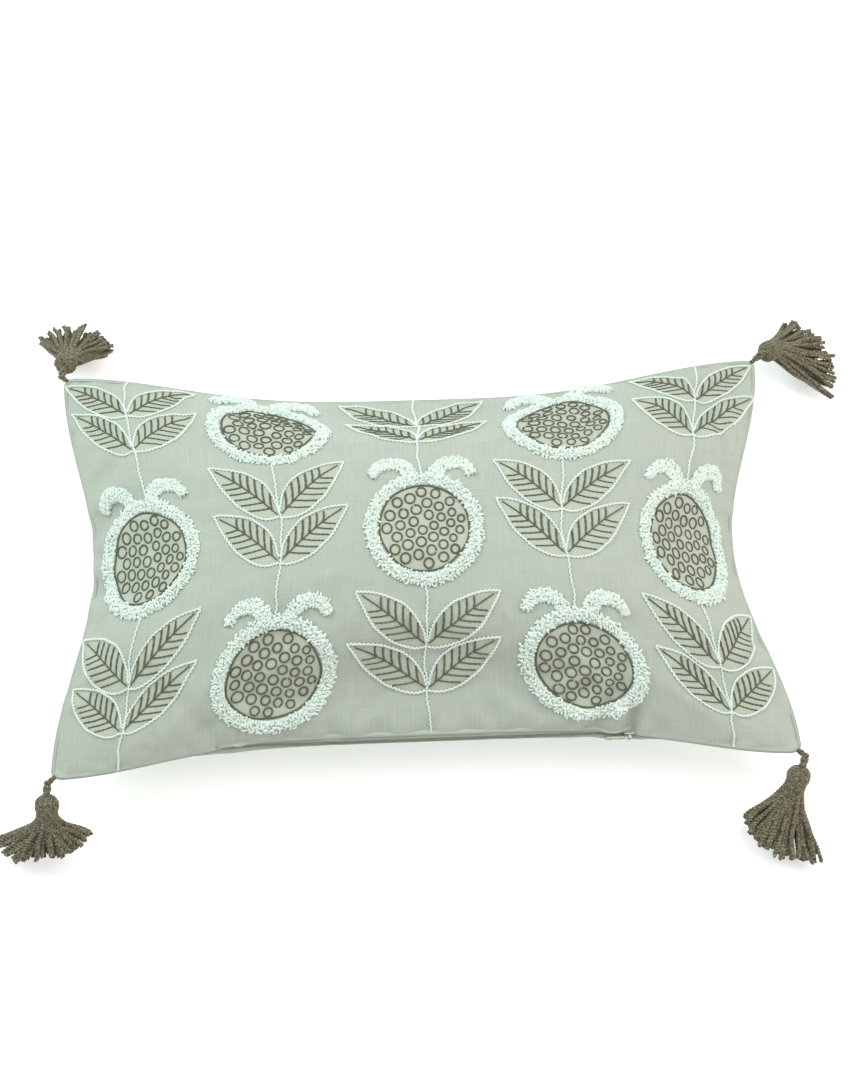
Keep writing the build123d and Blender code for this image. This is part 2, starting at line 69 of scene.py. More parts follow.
# ---- Cloth ---------------------------------------------------------------------------------------
CELLS_X, CELLS_Y = 120, 72
CLOTH_EASE = 0.006              # cloth beyond what the fill stretches tight
FILL = 1.01                     # volume the fill blows the cover up to, over the CAD's
SIM_FRAMES = 18
SIM_CAP = 12 * MM
CLOTH_THICKNESS = 0.8 * MM
CORNER_ROUND = 9 * MM
UNEVEN = 0.3 * MM               # height of the ripples that the simulation starts from
CROWN_FULLNESS = 0.6            # as in the CAD
# Creases that the filled cover keeps: u, v, heading in degrees, half length, half width and depth,
# with lengths in millimetres
CREASES = (
    (112, -128, 62, 26, 6, 4.0), (128, -138, 80, 14, 5, 4.5), (96, -118, 40, 22, 7, 1.8),
    (-142, -128, 118, 22, 6, 2.2), (-232, 30, 12, 30, 7, 2.6), (-236, -14, -10, 26, 7, 2.6),
    (-224, 58, 35, 22, 7, 1.6), (214, 92, -62, 26, 7, 2.2), (228, 70, -75, 24, 6, 2.0),
    (232, 20, -8, 20, 6, 1.6), (40, -136, 96, 14, 6, 1.4), (-60, -136, 84, 14, 6, 1.3),
    (236, -60, 15, 18, 6, 1.5), (-234, -80, -20, 18, 6, 1.5),
)
# How much further than the CAD's the fill draws the middle of a side in
RIGHT_DRAWN, NEAR_DRAWN, FAR_DRAWN = 6 * MM, 3 * MM, 8 * MM
# How straight each side stays before it runs out to its corners
SHORT_STRAIGHTNESS, NEAR_STRAIGHTNESS, FAR_STRAIGHTNESS = 2, 6, 4


def side_place(corner, middle, share, straightness):
    """How far out a side lies at shares along it: drawn in at its middle and blunt at its corners."""
    return middle + (corner - middle) * np.abs(np.sin(math.pi / 2 * share)) ** straightness


def crown(q):
    """Height of a panel, as a share of its rise, at a share of the way out from its middle."""
    return (1 - q * q) * (1 + CROWN_FULLNESS * q * q)


def arc_shares(count, half):
    """Shares of the way out from the middle where evenly spaced threads of a panel lie."""
    q = np.linspace(0, 1, 2001)
    steps = np.hypot(np.diff(half * q), np.diff(FRONT_RISE * crown(q)))
    length = np.concatenate([[0], np.cumsum(steps)])
    even = np.linspace(-1, 1, count + 1)
    return np.sign(even) * np.interp(np.abs(even), length / length[-1], q)


def start_grids():
    """Front and back panels near the CAD's filled shape, as grids of evenly spaced cloth."""
    s = arc_shares(CELLS_X, SIDE_X)[:, None]
    t = arc_shares(CELLS_Y, SIDE_Y)[None, :]
    left = -side_place(CORNER_X, SIDE_X, t, SHORT_STRAIGHTNESS)
    right = side_place(CORNER_X, SIDE_X - RIGHT_DRAWN, t, SHORT_STRAIGHTNESS)
    near = -side_place(CORNER_Y, SIDE_Y - NEAR_DRAWN, s, NEAR_STRAIGHTNESS)
    far = side_place(CORNER_Y, SIDE_Y - FAR_DRAWN, s, FAR_STRAIGHTNESS)
    x = (right - left) / 2 * s + (right + left) / 2 * s ** 2
    y = (far - near) / 2 * t + (far + near) / 2 * t ** 2
    height = crown(s) * crown(t)
    front = np.stack([x, y, SEAM_Z + FRONT_RISE * height], -1)
    back = np.stack([x, y, np.maximum(SEAM_Z - BACK_DROP * height, TABLE_GAP)], -1)
    return front, back


def sheet_indices():
    """Vertex numbers of both grids in one closed mesh that shares its boundary."""
    count = (CELLS_X + 1) * (CELLS_Y + 1)
    front = np.arange(count).reshape(CELLS_X + 1, CELLS_Y + 1)
    back = front.copy()
    inner = (CELLS_X - 1) * (CELLS_Y - 1)
    back[1:-1, 1:-1] = np.arange(count, count + inner).reshape(CELLS_X - 1, CELLS_Y - 1)
    return front, back


def edge_ring(values):
    """Values along a grid's boundary, once round."""
    return np.concatenate([values[:-1, 0], values[-1, :-1], values[:0:-1, -1], values[0, :0:-1]])


def quads(index):
    return np.stack([index[:-1, :-1], index[1:, :-1], index[1:, 1:], index[:-1, 1:]], -1).reshape(-1, 4)


def closed_sheets(front, back):
    """Two grids sewn together round their boundary: points, faces and the vertex numbers of both."""
    front_index, back_index = sheet_indices()
    faces = np.concatenate([quads(front_index), quads(back_index)[:, ::-1]])
    points = np.zeros((back_index.max() + 1, 3))
    points[front_index], points[back_index[1:-1, 1:-1]] = front, back[1:-1, 1:-1]
    return points, faces, front_index, back_index


def volume(points, faces):
    a, b, c, d = (points[faces[:, i]] for i in range(4))
    first, second = np.einsum("ij,ij->i", a, np.cross(b, c)), np.einsum("ij,ij->i", a, np.cross(c, d))
    return (first.sum() + second.sum()) / 6


def simulate(points, faces, held):
    """Cover a little larger than its fill, blown up to the fill's volume. held vertices stay put."""
    mesh = bpy.data.meshes.new("cover_simulation")
    mesh.from_pydata(points.tolist(), [], faces.tolist())
    cover = bpy.data.objects.new("cover_simulation", mesh)
    bpy.context.scene.collection.objects.link(cover)
    cover.vertex_groups.new(name="held").add(held.tolist(), 1.0, "REPLACE")
    table_mesh = bpy.data.meshes.new("simulation_table")
    table_mesh.from_pydata([(-1, -1, 0), (1, -1, 0), (1, 1, 0), (-1, 1, 0)], [], [(0, 1, 2, 3)])
    table = bpy.data.objects.new("simulation_table", table_mesh)
    bpy.context.scene.collection.objects.link(table)
    table.modifiers.new("Collision", "COLLISION")
    table.collision.thickness_outer = TABLE_GAP
    cloth = cover.modifiers.new("Cloth", "CLOTH")
    settings = cloth.settings
    settings.quality = 6
    settings.mass = 0.001
    settings.tension_stiffness = settings.compression_stiffness = 40
    settings.shear_stiffness = 14
    settings.bending_stiffness = 1.2
    settings.tension_damping = settings.compression_damping = settings.shear_damping = 5
    settings.vertex_group_mass = "held"
    settings.shrink_min = -CLOTH_EASE
    settings.use_pressure = True
    settings.use_pressure_volume = True
    settings.uniform_pressure_force = 0
    settings.pressure_factor = 60
    settings.target_volume = volume(points, faces) * FILL
    settings.effector_weights.gravity = 0
    cloth.collision_settings.distance_min = TABLE_GAP
    cloth.point_cache.frame_start, cloth.point_cache.frame_end = 1, SIM_FRAMES
    for step in range(1, SIM_FRAMES + 1):
        bpy.context.scene.frame_set(step)
    evaluated = cover.evaluated_get(bpy.context.evaluated_depsgraph_get())
    result = np.empty(len(points) * 3)
    evaluated.data.vertices.foreach_get("co", result)
    bpy.data.objects.remove(cover)
    bpy.data.objects.remove(table)
    bpy.context.scene.frame_set(1)
    return result.reshape(-1, 3)


def finer(grid, axis):
    """Grid with a point added halfway between neighbours along an axis, on a smooth curve."""
    g = np.moveaxis(grid, axis, 0)
    ends = np.concatenate([[2 * g[0] - g[1]], g, [2 * g[-1] - g[-2]]])
    middle = (9 * (ends[1:-2] + ends[2:-1]) - ends[:-3] - ends[3:]) / 16
    out = np.empty((2 * len(g) - 1,) + g.shape[1:])
    out[0::2], out[1::2] = g, middle
    return np.moveaxis(out, 0, axis)


def unit(vectors):
    return vectors / np.maximum(np.linalg.norm(vectors, axis=-1, keepdims=True), 1e-12)


class Panel:
    """Filled cloth that can be read at flat positions u, v."""

    def __init__(self, grid, side):
        self.grid = grid
        self.side = side
        across, along = np.gradient(grid, axis=0), np.gradient(grid, axis=1)
        self.normals = unit(np.cross(across, along)) * side

    def read(self, values, u, v):
        i = np.clip((u / FLAT_X + 1) / 2, 0, 1) * (values.shape[0] - 1)
        j = np.clip((v / FLAT_Y + 1) / 2, 0, 1) * (values.shape[1] - 1)
        i0 = np.minimum(i.astype(int), values.shape[0] - 2)
        j0 = np.minimum(j.astype(int), values.shape[1] - 2)
        a, b = (i - i0)[..., None], (j - j0)[..., None]
        low = values[i0, j0] * (1 - b) + values[i0, j0 + 1] * b
        high = values[i0 + 1, j0] * (1 - b) + values[i0 + 1, j0 + 1] * b
        return low * (1 - a) + high * a

    def at(self, u, v, lift=0.0):
        """Points and normals at flat positions, raised off the cloth by lift."""
        normals = unit(self.read(self.normals, u, v))
        return self.read(self.grid, u, v) + normals * np.asarray(lift)[..., None], normals


def crease(grid, normals):
    """Presses the cover's creases into a front grid."""
    u = np.linspace(-FLAT_X, FLAT_X, grid.shape[0])[:, None]
    v = np.linspace(-FLAT_Y, FLAT_Y, grid.shape[1])[None, :]
    push = np.zeros(grid.shape[:2])
    for cu, cv, heading, half_length, half_width, depth in CREASES:
        cos, sin = math.cos(math.radians(heading)), math.sin(math.radians(heading))
        along = ((u - cu * MM) * cos + (v - cv * MM) * sin) / (half_length * MM)
        across = (-(u - cu * MM) * sin + (v - cv * MM) * cos) / (half_width * MM)
        valley = np.exp(-across ** 2) - 0.45 * np.exp(-((np.abs(across) - 1.7) / 0.8) ** 2)
        push += depth * MM * valley * np.exp(-along ** 2)
    return grid - normals * push[..., None]


def round_corners(grid):
    """Grid whose square corners are cut round, as they are before the cover is turned right side out."""
    u = np.linspace(-FLAT_X, FLAT_X, grid.shape[0])[:, None]
    v = np.linspace(-FLAT_Y, FLAT_Y, grid.shape[1])[None, :]
    u, v = np.broadcast_arrays(u, v)
    p = np.clip((np.abs(u) - FLAT_X + CORNER_ROUND) / CORNER_ROUND, 0, 1)
    q = np.clip((np.abs(v) - FLAT_Y + CORNER_ROUND) / CORNER_ROUND, 0, 1)
    shift_u = np.where(p > 0, p * (np.sqrt(1 - q * q / 2) - 1), 0) * CORNER_ROUND
    shift_v = np.where(q > 0, q * (np.sqrt(1 - p * p / 2) - 1), 0) * CORNER_ROUND
    return Panel(grid, 1).at(u + np.sign(u) * shift_u, v + np.sign(v) * shift_v)[0]


def filled_panels():
    """The cover's front and back as the fill leaves them, creased and closed along the seam."""
    points, faces, front_index, back_index = closed_sheets(*start_grids())
    on_table = points[:, 2] < 2 * TABLE_GAP
    held = np.union1d(np.nonzero(on_table)[0], edge_ring(front_index))
    uneven = UNEVEN * np.sin(points[:, :1] * 210 + 2) * np.sin(points[:, 1:2] * 170 + 1) * (0, 0, 1)
    uneven[held] = 0
    moved = simulate(points + uneven, faces, held) - points
    reach = np.linalg.norm(moved, axis=1, keepdims=True)
    points = points + moved * np.minimum(1, SIM_CAP / np.maximum(reach, 1e-9))
    points[:, 2] = np.maximum(points[:, 2], TABLE_GAP)
    front, back = (finer(finer(points[index], 0), 1) for index in (front_index, back_index))
    front, back = (round_corners(grid) for grid in (front, back))
    front = crease(front, Panel(front, 1).normals)
    seam = (front + back) / 2
    for grid in (front, back):
        for side in ((0, slice(None)), (-1, slice(None)), (slice(None), 0), (slice(None), -1)):
            grid[side] = seam[side]
    return Panel(front, 1), Panel(back, -1)


# ---- Mesh helpers --------------------------------------------------------------------------------
def piece(name, points, faces, body, material, slot, replaces=(), uv=None):
    """Smooth mesh object that rides on a CAD body."""
    mesh = bpy.data.meshes.new(name)
    mesh.from_pydata(np.asarray(points, float).reshape(-1, 3).tolist(), [], np.asarray(faces).tolist())
    mesh.polygons.foreach_set("use_smooth", [True] * len(mesh.polygons))
    if uv is not None:
        layer = mesh.uv_layers.new(name="cloth")
        loops = np.empty(len(mesh.loops), int)
        mesh.loops.foreach_get("vertex_index", loops)
        layer.data.foreach_set("uv", np.asarray(uv)[loops].ravel())
    mesh.materials.append(material)
    obj = bpy.data.objects.new(name, mesh)
    bpy.context.scene.collection.objects.link(obj)
    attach(obj, body)
    if replaces:
        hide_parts(*replaces)
    return obj


def tubes(paths, radius, up, sides=6, closed=False, squash=1.0):
    """Points and faces of round tubes along S paths of N points. squash flattens them along up."""
    paths = np.asarray(paths, float)
    if closed:
        tangent = unit(np.roll(paths, -1, 1) - np.roll(paths, 1, 1))
    else:
        tangent = unit(np.gradient(paths, axis=1))
    up = np.broadcast_to(up, paths.shape)
    across = unit(np.cross(up, tangent))
    up = np.cross(tangent, across)
    turn = 2 * math.pi * np.arange(sides) / sides
    radius = np.broadcast_to(radius, paths.shape[:2])[..., None, None]
    ring = across[:, :, None] * np.cos(turn)[:, None] + up[:, :, None] * np.sin(turn)[:, None] * squash
    points = paths[:, :, None] + ring * radius
    strands, count = paths.shape[:2]
    index = np.arange(strands * count * sides).reshape(strands, count, sides)
    if closed:
        index = np.concatenate([index, index[:, :1]], 1)
    index = np.concatenate([index, index[:, :, :1]], 2)
    faces = np.stack([index[:, :-1, :-1], index[:, 1:, :-1], index[:, 1:, 1:], index[:, :-1, 1:]], -1)
    return points.reshape(-1, 3), faces.reshape(-1, 4)


def joined(*parts):
    """Several point and face sets as one."""
    points, faces, offset = [], [], 0
    for part_points, part_faces in parts:
        points.append(part_points)
        faces.append(part_faces + offset)
        offset += len(part_points)
    return np.concatenate(points), np.concatenate(faces)


def arc_length(paths):
    steps = np.linalg.norm(np.diff(paths, axis=1), axis=-1)
    return np.concatenate([np.zeros((len(paths), 1)), np.cumsum(steps, axis=1)], 1)


def plied(paths, radius, pitch, up, plies=2):
    """Paths of the plies twisted round each path."""
    tangent = unit(np.gradient(paths, axis=1))
    across = unit(np.cross(np.broadcast_to(up, paths.shape), tangent))
    raised = np.cross(tangent, across)
    start = RNG.uniform(0, 2 * math.pi, (len(paths), 1))
    turn = 2 * math.pi * arc_length(paths) / pitch + start
    out = []
    for ply in range(plies):
        phase = (turn + 2 * math.pi * ply / plies)[..., None]
        out.append(paths + radius * (across * np.cos(phase) + raised * np.sin(phase)))
    return np.concatenate(out)


def resampled(points, step):
    """Points spaced evenly along a flat line."""
    points = np.asarray(points, float)
    length = np.concatenate([[0], np.cumsum(np.linalg.norm(np.diff(points, axis=0), axis=1))])
    at = np.linspace(0, length[-1], max(int(length[-1] / step), 2) + 1)
    return np.stack([np.interp(at, length, points[:, k]) for k in range(2)], -1)


def smooth_line(points, rounds=3):
    """Flat line with its corners rounded off and its ends kept."""
    points = np.asarray(points, float)
    for _ in range(rounds):
        cut = np.empty((2 * len(points) - 2, 2))
        cut[0::2] = 0.75 * points[:-1] + 0.25 * points[1:]
        cut[1::2] = 0.25 * points[:-1] + 0.75 * points[1:]
        points = np.concatenate([points[:1], cut, points[-1:]])
    return points


# ---- Materials -----------------------------------------------------------------------------------
def srgb(r, g, b):
    """Linear colour of 0 to 255 display values."""
    values = np.array([r, g, b]) / 255
    return tuple(np.where(values <= 0.04045, values / 12.92, ((values + 0.055) / 1.055) ** 2.4)) + (1.0,)


class Nodes:
    """Short ways to add and link shader nodes."""

    def __init__(self, name, roughness, sheen=0.0, metallic=0.0, ior=1.45, tint=(1, 1, 1, 1)):
        self.material = bpy.data.materials.new(name)
        self.material.use_nodes = True
        self.tree = self.material.node_tree
        self.surface = self.tree.nodes["Principled BSDF"]
        self.surface.inputs["Roughness"].default_value = roughness
        self.surface.inputs["Sheen Weight"].default_value = sheen
        self.surface.inputs["Sheen Roughness"].default_value = 0.5
        self.surface.inputs["Sheen Tint"].default_value = tint
        self.surface.inputs["Metallic"].default_value = metallic
        self.surface.inputs["IOR"].default_value = ior

    def put(self, socket, value):
        if isinstance(value, bpy.types.NodeSocket):
            self.tree.links.new(value, socket)
        else:
            socket.default_value = value

    def node(self, kind, inputs=(), **settings):
        node = self.tree.nodes.new(kind)
        for name, value in settings.items():
            setattr(node, name, value)
        for name, value in dict(inputs).items():
            self.put(node.inputs[name], value)
        return node

    def math(self, operation, a, b=0.0):
        return self.node("ShaderNodeMath", {0: a, 1: b}, operation=operation).outputs[0]

    def coordinates(self, output, scale=(1, 1, 1)):
        source = self.node("ShaderNodeTexCoord").outputs[output]
        return self.node("ShaderNodeMapping", {"Vector": source, "Scale": scale}).outputs[0]

    def noise(self, vector, scale, detail=3.0, roughness=0.5):
        inputs = {"Vector": vector, "Scale": scale, "Detail": detail, "Roughness": roughness}
        return self.node("ShaderNodeTexNoise", inputs).outputs["Fac"]

    def ramp(self, factor, low, high, colour_low, colour_high):
        ramp = self.node("ShaderNodeValToRGB", {"Fac": factor})
        first, last = ramp.color_ramp.elements[0], ramp.color_ramp.elements[1]
        first.position, first.color = low, colour_low
        last.position, last.color = high, colour_high
        return ramp.outputs["Color"]

    def mix(self, factor, a, b, blend="MIX"):
        node = self.node("ShaderNodeMix", data_type="RGBA", blend_type=blend)
        self.put(node.inputs[0], factor)
        self.put(node.inputs[6], a)
        self.put(node.inputs[7], b)
        return node.outputs[2]

    def finish(self, colour, height=None, distance=0.0002, strength=0.6, roughness=None):
        self.put(self.surface.inputs["Base Color"], colour)
        if roughness is not None:
            self.put(self.surface.inputs["Roughness"], roughness)
        if height is not None:
            bump = self.node("ShaderNodeBump", {"Height": height, "Distance": distance, "Strength": strength})
            self.put(self.surface.inputs["Normal"], bump.outputs["Normal"])
        return self.material


def woven_cloth(name, ground, streak, beige, thread=0.8 * MM, tinted=True):
    """Plain weave of slubbed threads along u and v, two tones of thread and a beige tint by face."""
    n = Nodes(name, 0.9, sheen=0.18, ior=1.4, tint=(0.9, 0.95, 0.88, 1))
    cloth = n.coordinates("UV")
    parts = n.node("ShaderNodeSeparateXYZ", {"Vector": cloth})
    wobble = n.math("MULTIPLY", n.math("SUBTRACT", n.noise(cloth, 160, 2), 0.5), 0.0012)
    waves = []
    for axis in (0, 1):
        place = n.math("ADD", parts.outputs[axis], wobble)
        waves.append(n.math("SINE", n.math("MULTIPLY", place, 2 * math.pi / thread)))
    over = n.math("MULTIPLY", waves[0], waves[1])
    warp_slub = n.noise(n.coordinates("UV", (1500, 40, 1)), 1.0, 2, 0.6)
    weft_slub = n.noise(n.coordinates("UV", (36, 1300, 1)), 1.0, 2, 0.6)
    patch = n.noise(cloth, 14, 4, 0.6)
    slub = n.math("ADD", n.math("MULTIPLY", warp_slub, 0.6), n.math("MULTIPLY", weft_slub, 0.4))
    colour = n.ramp(slub, 0.34, 0.66, streak, ground)
    colour = n.mix(n.math("MULTIPLY", n.math("ADD", over, 1.0), 0.12), colour, streak)
    colour = n.mix(n.ramp(patch, 0.35, 0.65, (0, 0, 0, 1), (0.28, 0.28, 0.28, 1)), colour, beige)
    if tinted:
        tint = n.node("ShaderNodeAttribute", attribute_name="beige").outputs["Fac"]
        colour = n.mix(n.math("MULTIPLY", tint, 0.75), colour, beige)
    height = n.math("ADD", n.math("MULTIPLY", over, 0.25), n.math("MULTIPLY", slub, 1.1))
    return n.finish(colour, height, 0.00028, 0.75)


def yarn(name, light, dark, scale=900, sheen=0.3, spread=(0.3, 0.7), fibre=2600):
    """Soft spun yarn: noise between a light and a dark tone, which is uneven dye and, on the tassel yarn,
    painted highlights and painted shade of the hollows between plies; and fine fibre relief.
    """
    n = Nodes(name, 0.92, sheen=sheen, ior=1.4, tint=light)
    place = n.coordinates("Object")
    # Noise between the light and dark tone: uneven dye, and on the tassel yarn painted highlights and painted
    # groove shade
    uneven = n.noise(place, scale, 3, 0.65)
    broad = n.noise(place, scale / 14, 2, 0.5)
    colour = n.ramp(uneven, spread[0], spread[1], dark, light)
    colour = n.mix(n.math("MULTIPLY", broad, 0.35), colour, dark)
    return n.finish(colour, n.noise(place, fibre, 2, 0.7), 0.0001, 0.55)


def metal(name, colour, dull):
    n = Nodes(name, 0.35, metallic=1.0)
    place = n.coordinates("Object")
    grain = n.noise(place, 700, 4, 0.6)
    shade = n.ramp(n.noise(place, 160, 3, 0.6), 0.35, 0.7, dull, colour)
    rough = n.math("ADD", n.math("MULTIPLY", grain, 0.25), 0.28)
    return n.finish(shade, grain, 0.00003, 0.4, rough)


def coil_plastic(name, colour, dark):
    n = Nodes(name, 0.45)
    place = n.coordinates("Object")
    shade = n.ramp(n.noise(place, 400, 3, 0.6), 0.3, 0.7, dark, colour)
    return n.finish(shade, n.noise(place, 1500, 2, 0.6), 0.00004, 0.4)


GROUND, STREAK, BEIGE = srgb(188, 195, 183), srgb(168, 176, 164), srgb(188, 194, 174)
FRONT_CLOTH = woven_cloth("front_cloth", GROUND, STREAK, BEIGE)
BACK_CLOTH = woven_cloth("back_cloth", srgb(190, 198, 184), srgb(174, 184, 168), BEIGE, tinted=False)
CASING_CLOTH = woven_cloth("casing_cloth", srgb(236, 236, 232), srgb(224, 224, 220), srgb(230, 229, 222),
                           0.8 * MM, False)
TAPE_CLOTH = woven_cloth("zip_tape", srgb(172, 180, 164), srgb(150, 158, 142), srgb(170, 172, 156),
                         0.7 * MM, False)
WHITE_YARN = yarn("white_yarn", srgb(240, 248, 240), srgb(212, 226, 215), 700, 0.35)
BROWN_YARN = yarn("brown_yarn", srgb(114, 117, 99), srgb(80, 83, 66), 900, 0.12)
# Tassel yarn: its light tone is a painted highlight and its dark tone is painted shade in the grooves between
# plies, mixed by noise
TASSEL_YARN = yarn("tassel_yarn", srgb(160, 150, 126), srgb(70, 71, 53), 620, 0.25, (0.36, 0.64), 2200)
SEWING_THREAD = yarn("seam_thread", srgb(186, 194, 178), srgb(160, 168, 152), 1200, 0.2)
CASING_THREAD = yarn("casing_thread", srgb(240, 240, 236), srgb(222, 222, 218), 1200, 0.2)
FIBRE = yarn("fibre_fill", srgb(246, 246, 244), srgb(230, 230, 228), 120, 0.5)
ZIP_METAL = metal("zip_metal", srgb(168, 174, 160), srgb(132, 138, 124))
ZIP_COIL = coil_plastic("zip_coil", srgb(166, 174, 158), srgb(140, 148, 132))


# ---- Cover ---------------------------------------------------------------------------------------
LIP_RISE, ZIP_LIP = 1.0 * MM, 2.4 * MM
FRONT, BACK = filled_panels()


def lipped(panel):
    """The panel's grid with its edge rolled into the seam, as points, faces and cloth positions."""
    grid = panel.grid
    index = np.arange(grid.shape[0] * grid.shape[1]).reshape(grid.shape[:2])
    u = np.broadcast_to(np.linspace(-FLAT_X, FLAT_X, grid.shape[0])[:, None], grid.shape[:2])
    v = np.broadcast_to(np.linspace(-FLAT_Y, FLAT_Y, grid.shape[1])[None, :], grid.shape[:2])
    points, uv = grid.reshape(-1, 3).copy(), np.stack([u, v], -1).reshape(-1, 2)
    ring = edge_ring(index)
    edge = points[ring].copy()
    along = unit(np.roll(edge, -1, 0) - np.roll(edge, 1, 0)) * (1, 1, 0)
    outward = unit(np.cross(along, (0, 0, 1.0)))
    near = (uv[ring, 1] < -FLAT_Y + MM)[:, None]
    left = ZIP_HALF - np.abs(edge[:, :1])
    ease = near * np.clip((left + 14 * MM) / (22 * MM), 0, 1)
    gape = near * np.clip(left / (6 * MM), 0, 1)
    rise = (LIP_RISE + (ZIP_LIP - LIP_RISE) * ease) * (0, 0, panel.side)
    set_out = (0.2 - ease * (0.5 if panel.side > 0 else -1.9)) * MM
    points[ring] = edge + rise + outward * set_out
    turned = edge + rise * (0.55 + 0.3 * gape) + outward * (set_out - 0.3 * MM * gape)
    sewn = edge + rise * (0.15 + 0.7 * gape) + outward * (set_out - 2.2 * MM - 2.5 * MM * gape)
    start = len(points)
    faces = [quads(index)]
    rows = [ring, start + np.arange(len(ring)), start + len(ring) + np.arange(len(ring))]
    for row, deeper in zip(rows, rows[1:]):
        faces.append(np.stack([row, deeper, np.roll(deeper, -1), np.roll(row, -1)], -1))
    out = edge_ring(np.stack([u, v], -1))
    points = np.concatenate([points, turned, sewn])
    uv = np.concatenate([uv, out * (1 + 1.5 * MM / FLAT_Y), out * (1 + 3 * MM / FLAT_Y)])
    faces = np.concatenate(faces)
    return points, faces if panel.side > 0 else faces[:, ::-1], uv


def thicken(obj, thickness):
    solid = obj.modifiers.new("Solidify", "SOLIDIFY")
    solid.thickness, solid.offset = thickness, -1
    with bpy.context.temp_override(object=obj, active_object=obj):
        bpy.ops.object.modifier_apply(modifier=solid.name)


def make_cover():
    points, faces, uv = lipped(FRONT)
    front = piece("cover_front", points, faces, "pillow", FRONT_CLOTH, "front_cloth", ["front_panel"], uv)
    points, faces, uv = lipped(BACK)
    back = piece("cover_back", points, faces, "pillow", BACK_CLOTH, "back_cloth", ["back_panel"], uv)
    for obj in (front, back):
        thicken(obj, CLOTH_THICKNESS)
    return front


# ---- Pattern of the embroidery, in millimetres of flat cloth -------------------------------------
DISC_RADIUS = 30.0
TUFT_INNER, TUFT_OUTER = 32.0, 40.0
SEEDS = 36
# A right-hand leaf, drawn from where it leaves the stem
LEAF_TIP = (49.0, 40.0)
LEAF_LOWER = ((0.0, -1.2), (7.0, -2.4), (15.0, -0.6), (24.5, 4.6), (33.0, 12.2), (40.0, 21.2),
              (44.5, 30.5), LEAF_TIP)
LEAF_UPPER = ((0.4, 2.6), (1.8, 11.0), (6.0, 20.6), (12.5, 28.0), (21.0, 33.4), (30.5, 37.0),
              (41.0, 39.4), LEAF_TIP)
LEAF_RIB = ((1.5, 1.2), (14.0, 13.4), (29.0, 26.8), (44.5, 37.4))
# The CAD's repeat: columns of flowers and leaf pairs by turns, neighbours half a repeat apart
COLUMNS, COLUMN_PITCH, ROW_PITCH, ROW_SHIFT = 5, 99.0, 94.0, -3.0
LEAF_NODES = (13.5, -18.5)      # where a group's two pairs leave the stem, from its row
STEM_FROM_SEAM = 1.0
STEM_ABOVE, STEM_BELOW = 38, 36     # where a stem stops short of a flower's middle


def varied(value, spread):
    """A value with a small hand-sewn difference."""
    return value + RNG.uniform(-spread, spread)


def repeat(parity):
    """Middles of the repeat's places: parity 0 holds the flowers and 1 the leaf groups."""
    places = []
    for column in range(COLUMNS):
        rows = (0,) if column % 2 == parity else (-1, 1)
        u = (column - (COLUMNS - 1) / 2) * COLUMN_PITCH
        places += [(u, row * ROW_PITCH + ROW_SHIFT) for row in rows]
    return places


def stem_lines():
    """Stems from a seam, or from under a flower, to between the next flower's horns."""
    top = FLAT_Y / MM - STEM_FROM_SEAM
    lines = []
    for column in range(COLUMNS):
        spans = ((top, ROW_SHIFT + STEM_ABOVE), (ROW_SHIFT - STEM_BELOW, -top))
        if column % 2:
            spans = ((ROW_SHIFT + ROW_PITCH - STEM_ABOVE, ROW_SHIFT - ROW_PITCH + STEM_ABOVE),)
        u = (column - (COLUMNS - 1) / 2) * COLUMN_PITCH
        for high, low in spans:
            lines.append([(varied(u, 1.2), v) for v in np.linspace(high, low, 5)])
    return lines


# Each flower: its middle, its width and height as shares of the drawn size, and how far it leans
FLOWERS = [(varied(u, 1.5), varied(v, 1.5), varied(1.04, 0.04), varied(1.0, 0.04), varied(0, 0.05))
           for u, v in repeat(0)]
# Each pair of leaves: where it leaves the stem, how far it reaches left and right, and how steeply
LEAF_PAIRS = [(u, varied(v + node, 1.5), varied(1, 0.05), varied(1, 0.05), varied(0.92, 0.06))
              for u, v in repeat(1) for node in LEAF_NODES]


def bloom(flower, x, y):
    """Flat positions of points drawn about a flower's middle."""
    u, v, wide, tall, lean = flower
    return u + wide * x + lean * y, v + tall * y


def on_front(u, v, lift):
    """Points and normals on the front for arrays in millimetres."""
    return FRONT.at(np.asarray(u) * MM, np.asarray(v) * MM, np.asarray(lift) * MM)


def wavy_yarn(lines, radius=0.62, wave=0.5, period=2.7, rise=0.55, bumps=0.22):
    """Looped yarn laid along flat lines of equal point counts, in millimetres."""
    lines = np.asarray(lines, float)
    run = arc_length(lines)
    drift = RNG.uniform(0, 2 * math.pi, (len(lines), 1)) + 0.9 * np.sin(run / 5.3)
    phase = 2 * math.pi * run / period + drift
    along = unit(np.gradient(lines, axis=1))
    side = np.stack([-along[..., 1], along[..., 0]], -1)
    bent = lines + side * (wave * np.sin(phase) + 0.2 * np.sin(run / 3.1 + drift))[..., None]
    points, normals = on_front(bent[..., 0], bent[..., 1], rise + 0.18 * np.cos(2 * phase))
    thick = radius * (1 + bumps * np.sin(2 * phase + 0.6)) * MM
    thick[:, 0] *= 0.3
    thick[:, -1] *= 0.3
    return tubes(points, thick, normals)


def stitched_line(lines, radius=0.4, stitch=2.3, rise=0.2, closed=False):
    """Back stitches along flat lines of equal point counts, each stitch fuller in its middle."""
    lines = np.asarray(lines, float)
    run = arc_length(lines)
    swell = np.abs(np.sin(math.pi * run / stitch + RNG.uniform(0, math.pi, (len(lines), 1))))
    points, normals = on_front(lines[..., 0], lines[..., 1], rise + 0.12 * swell)
    thick = np.asarray(radius).reshape(-1, 1) * (0.72 + 0.32 * swell ** 0.6) * MM
    return tubes(points, thick, normals, sides=5, closed=closed, squash=0.75)


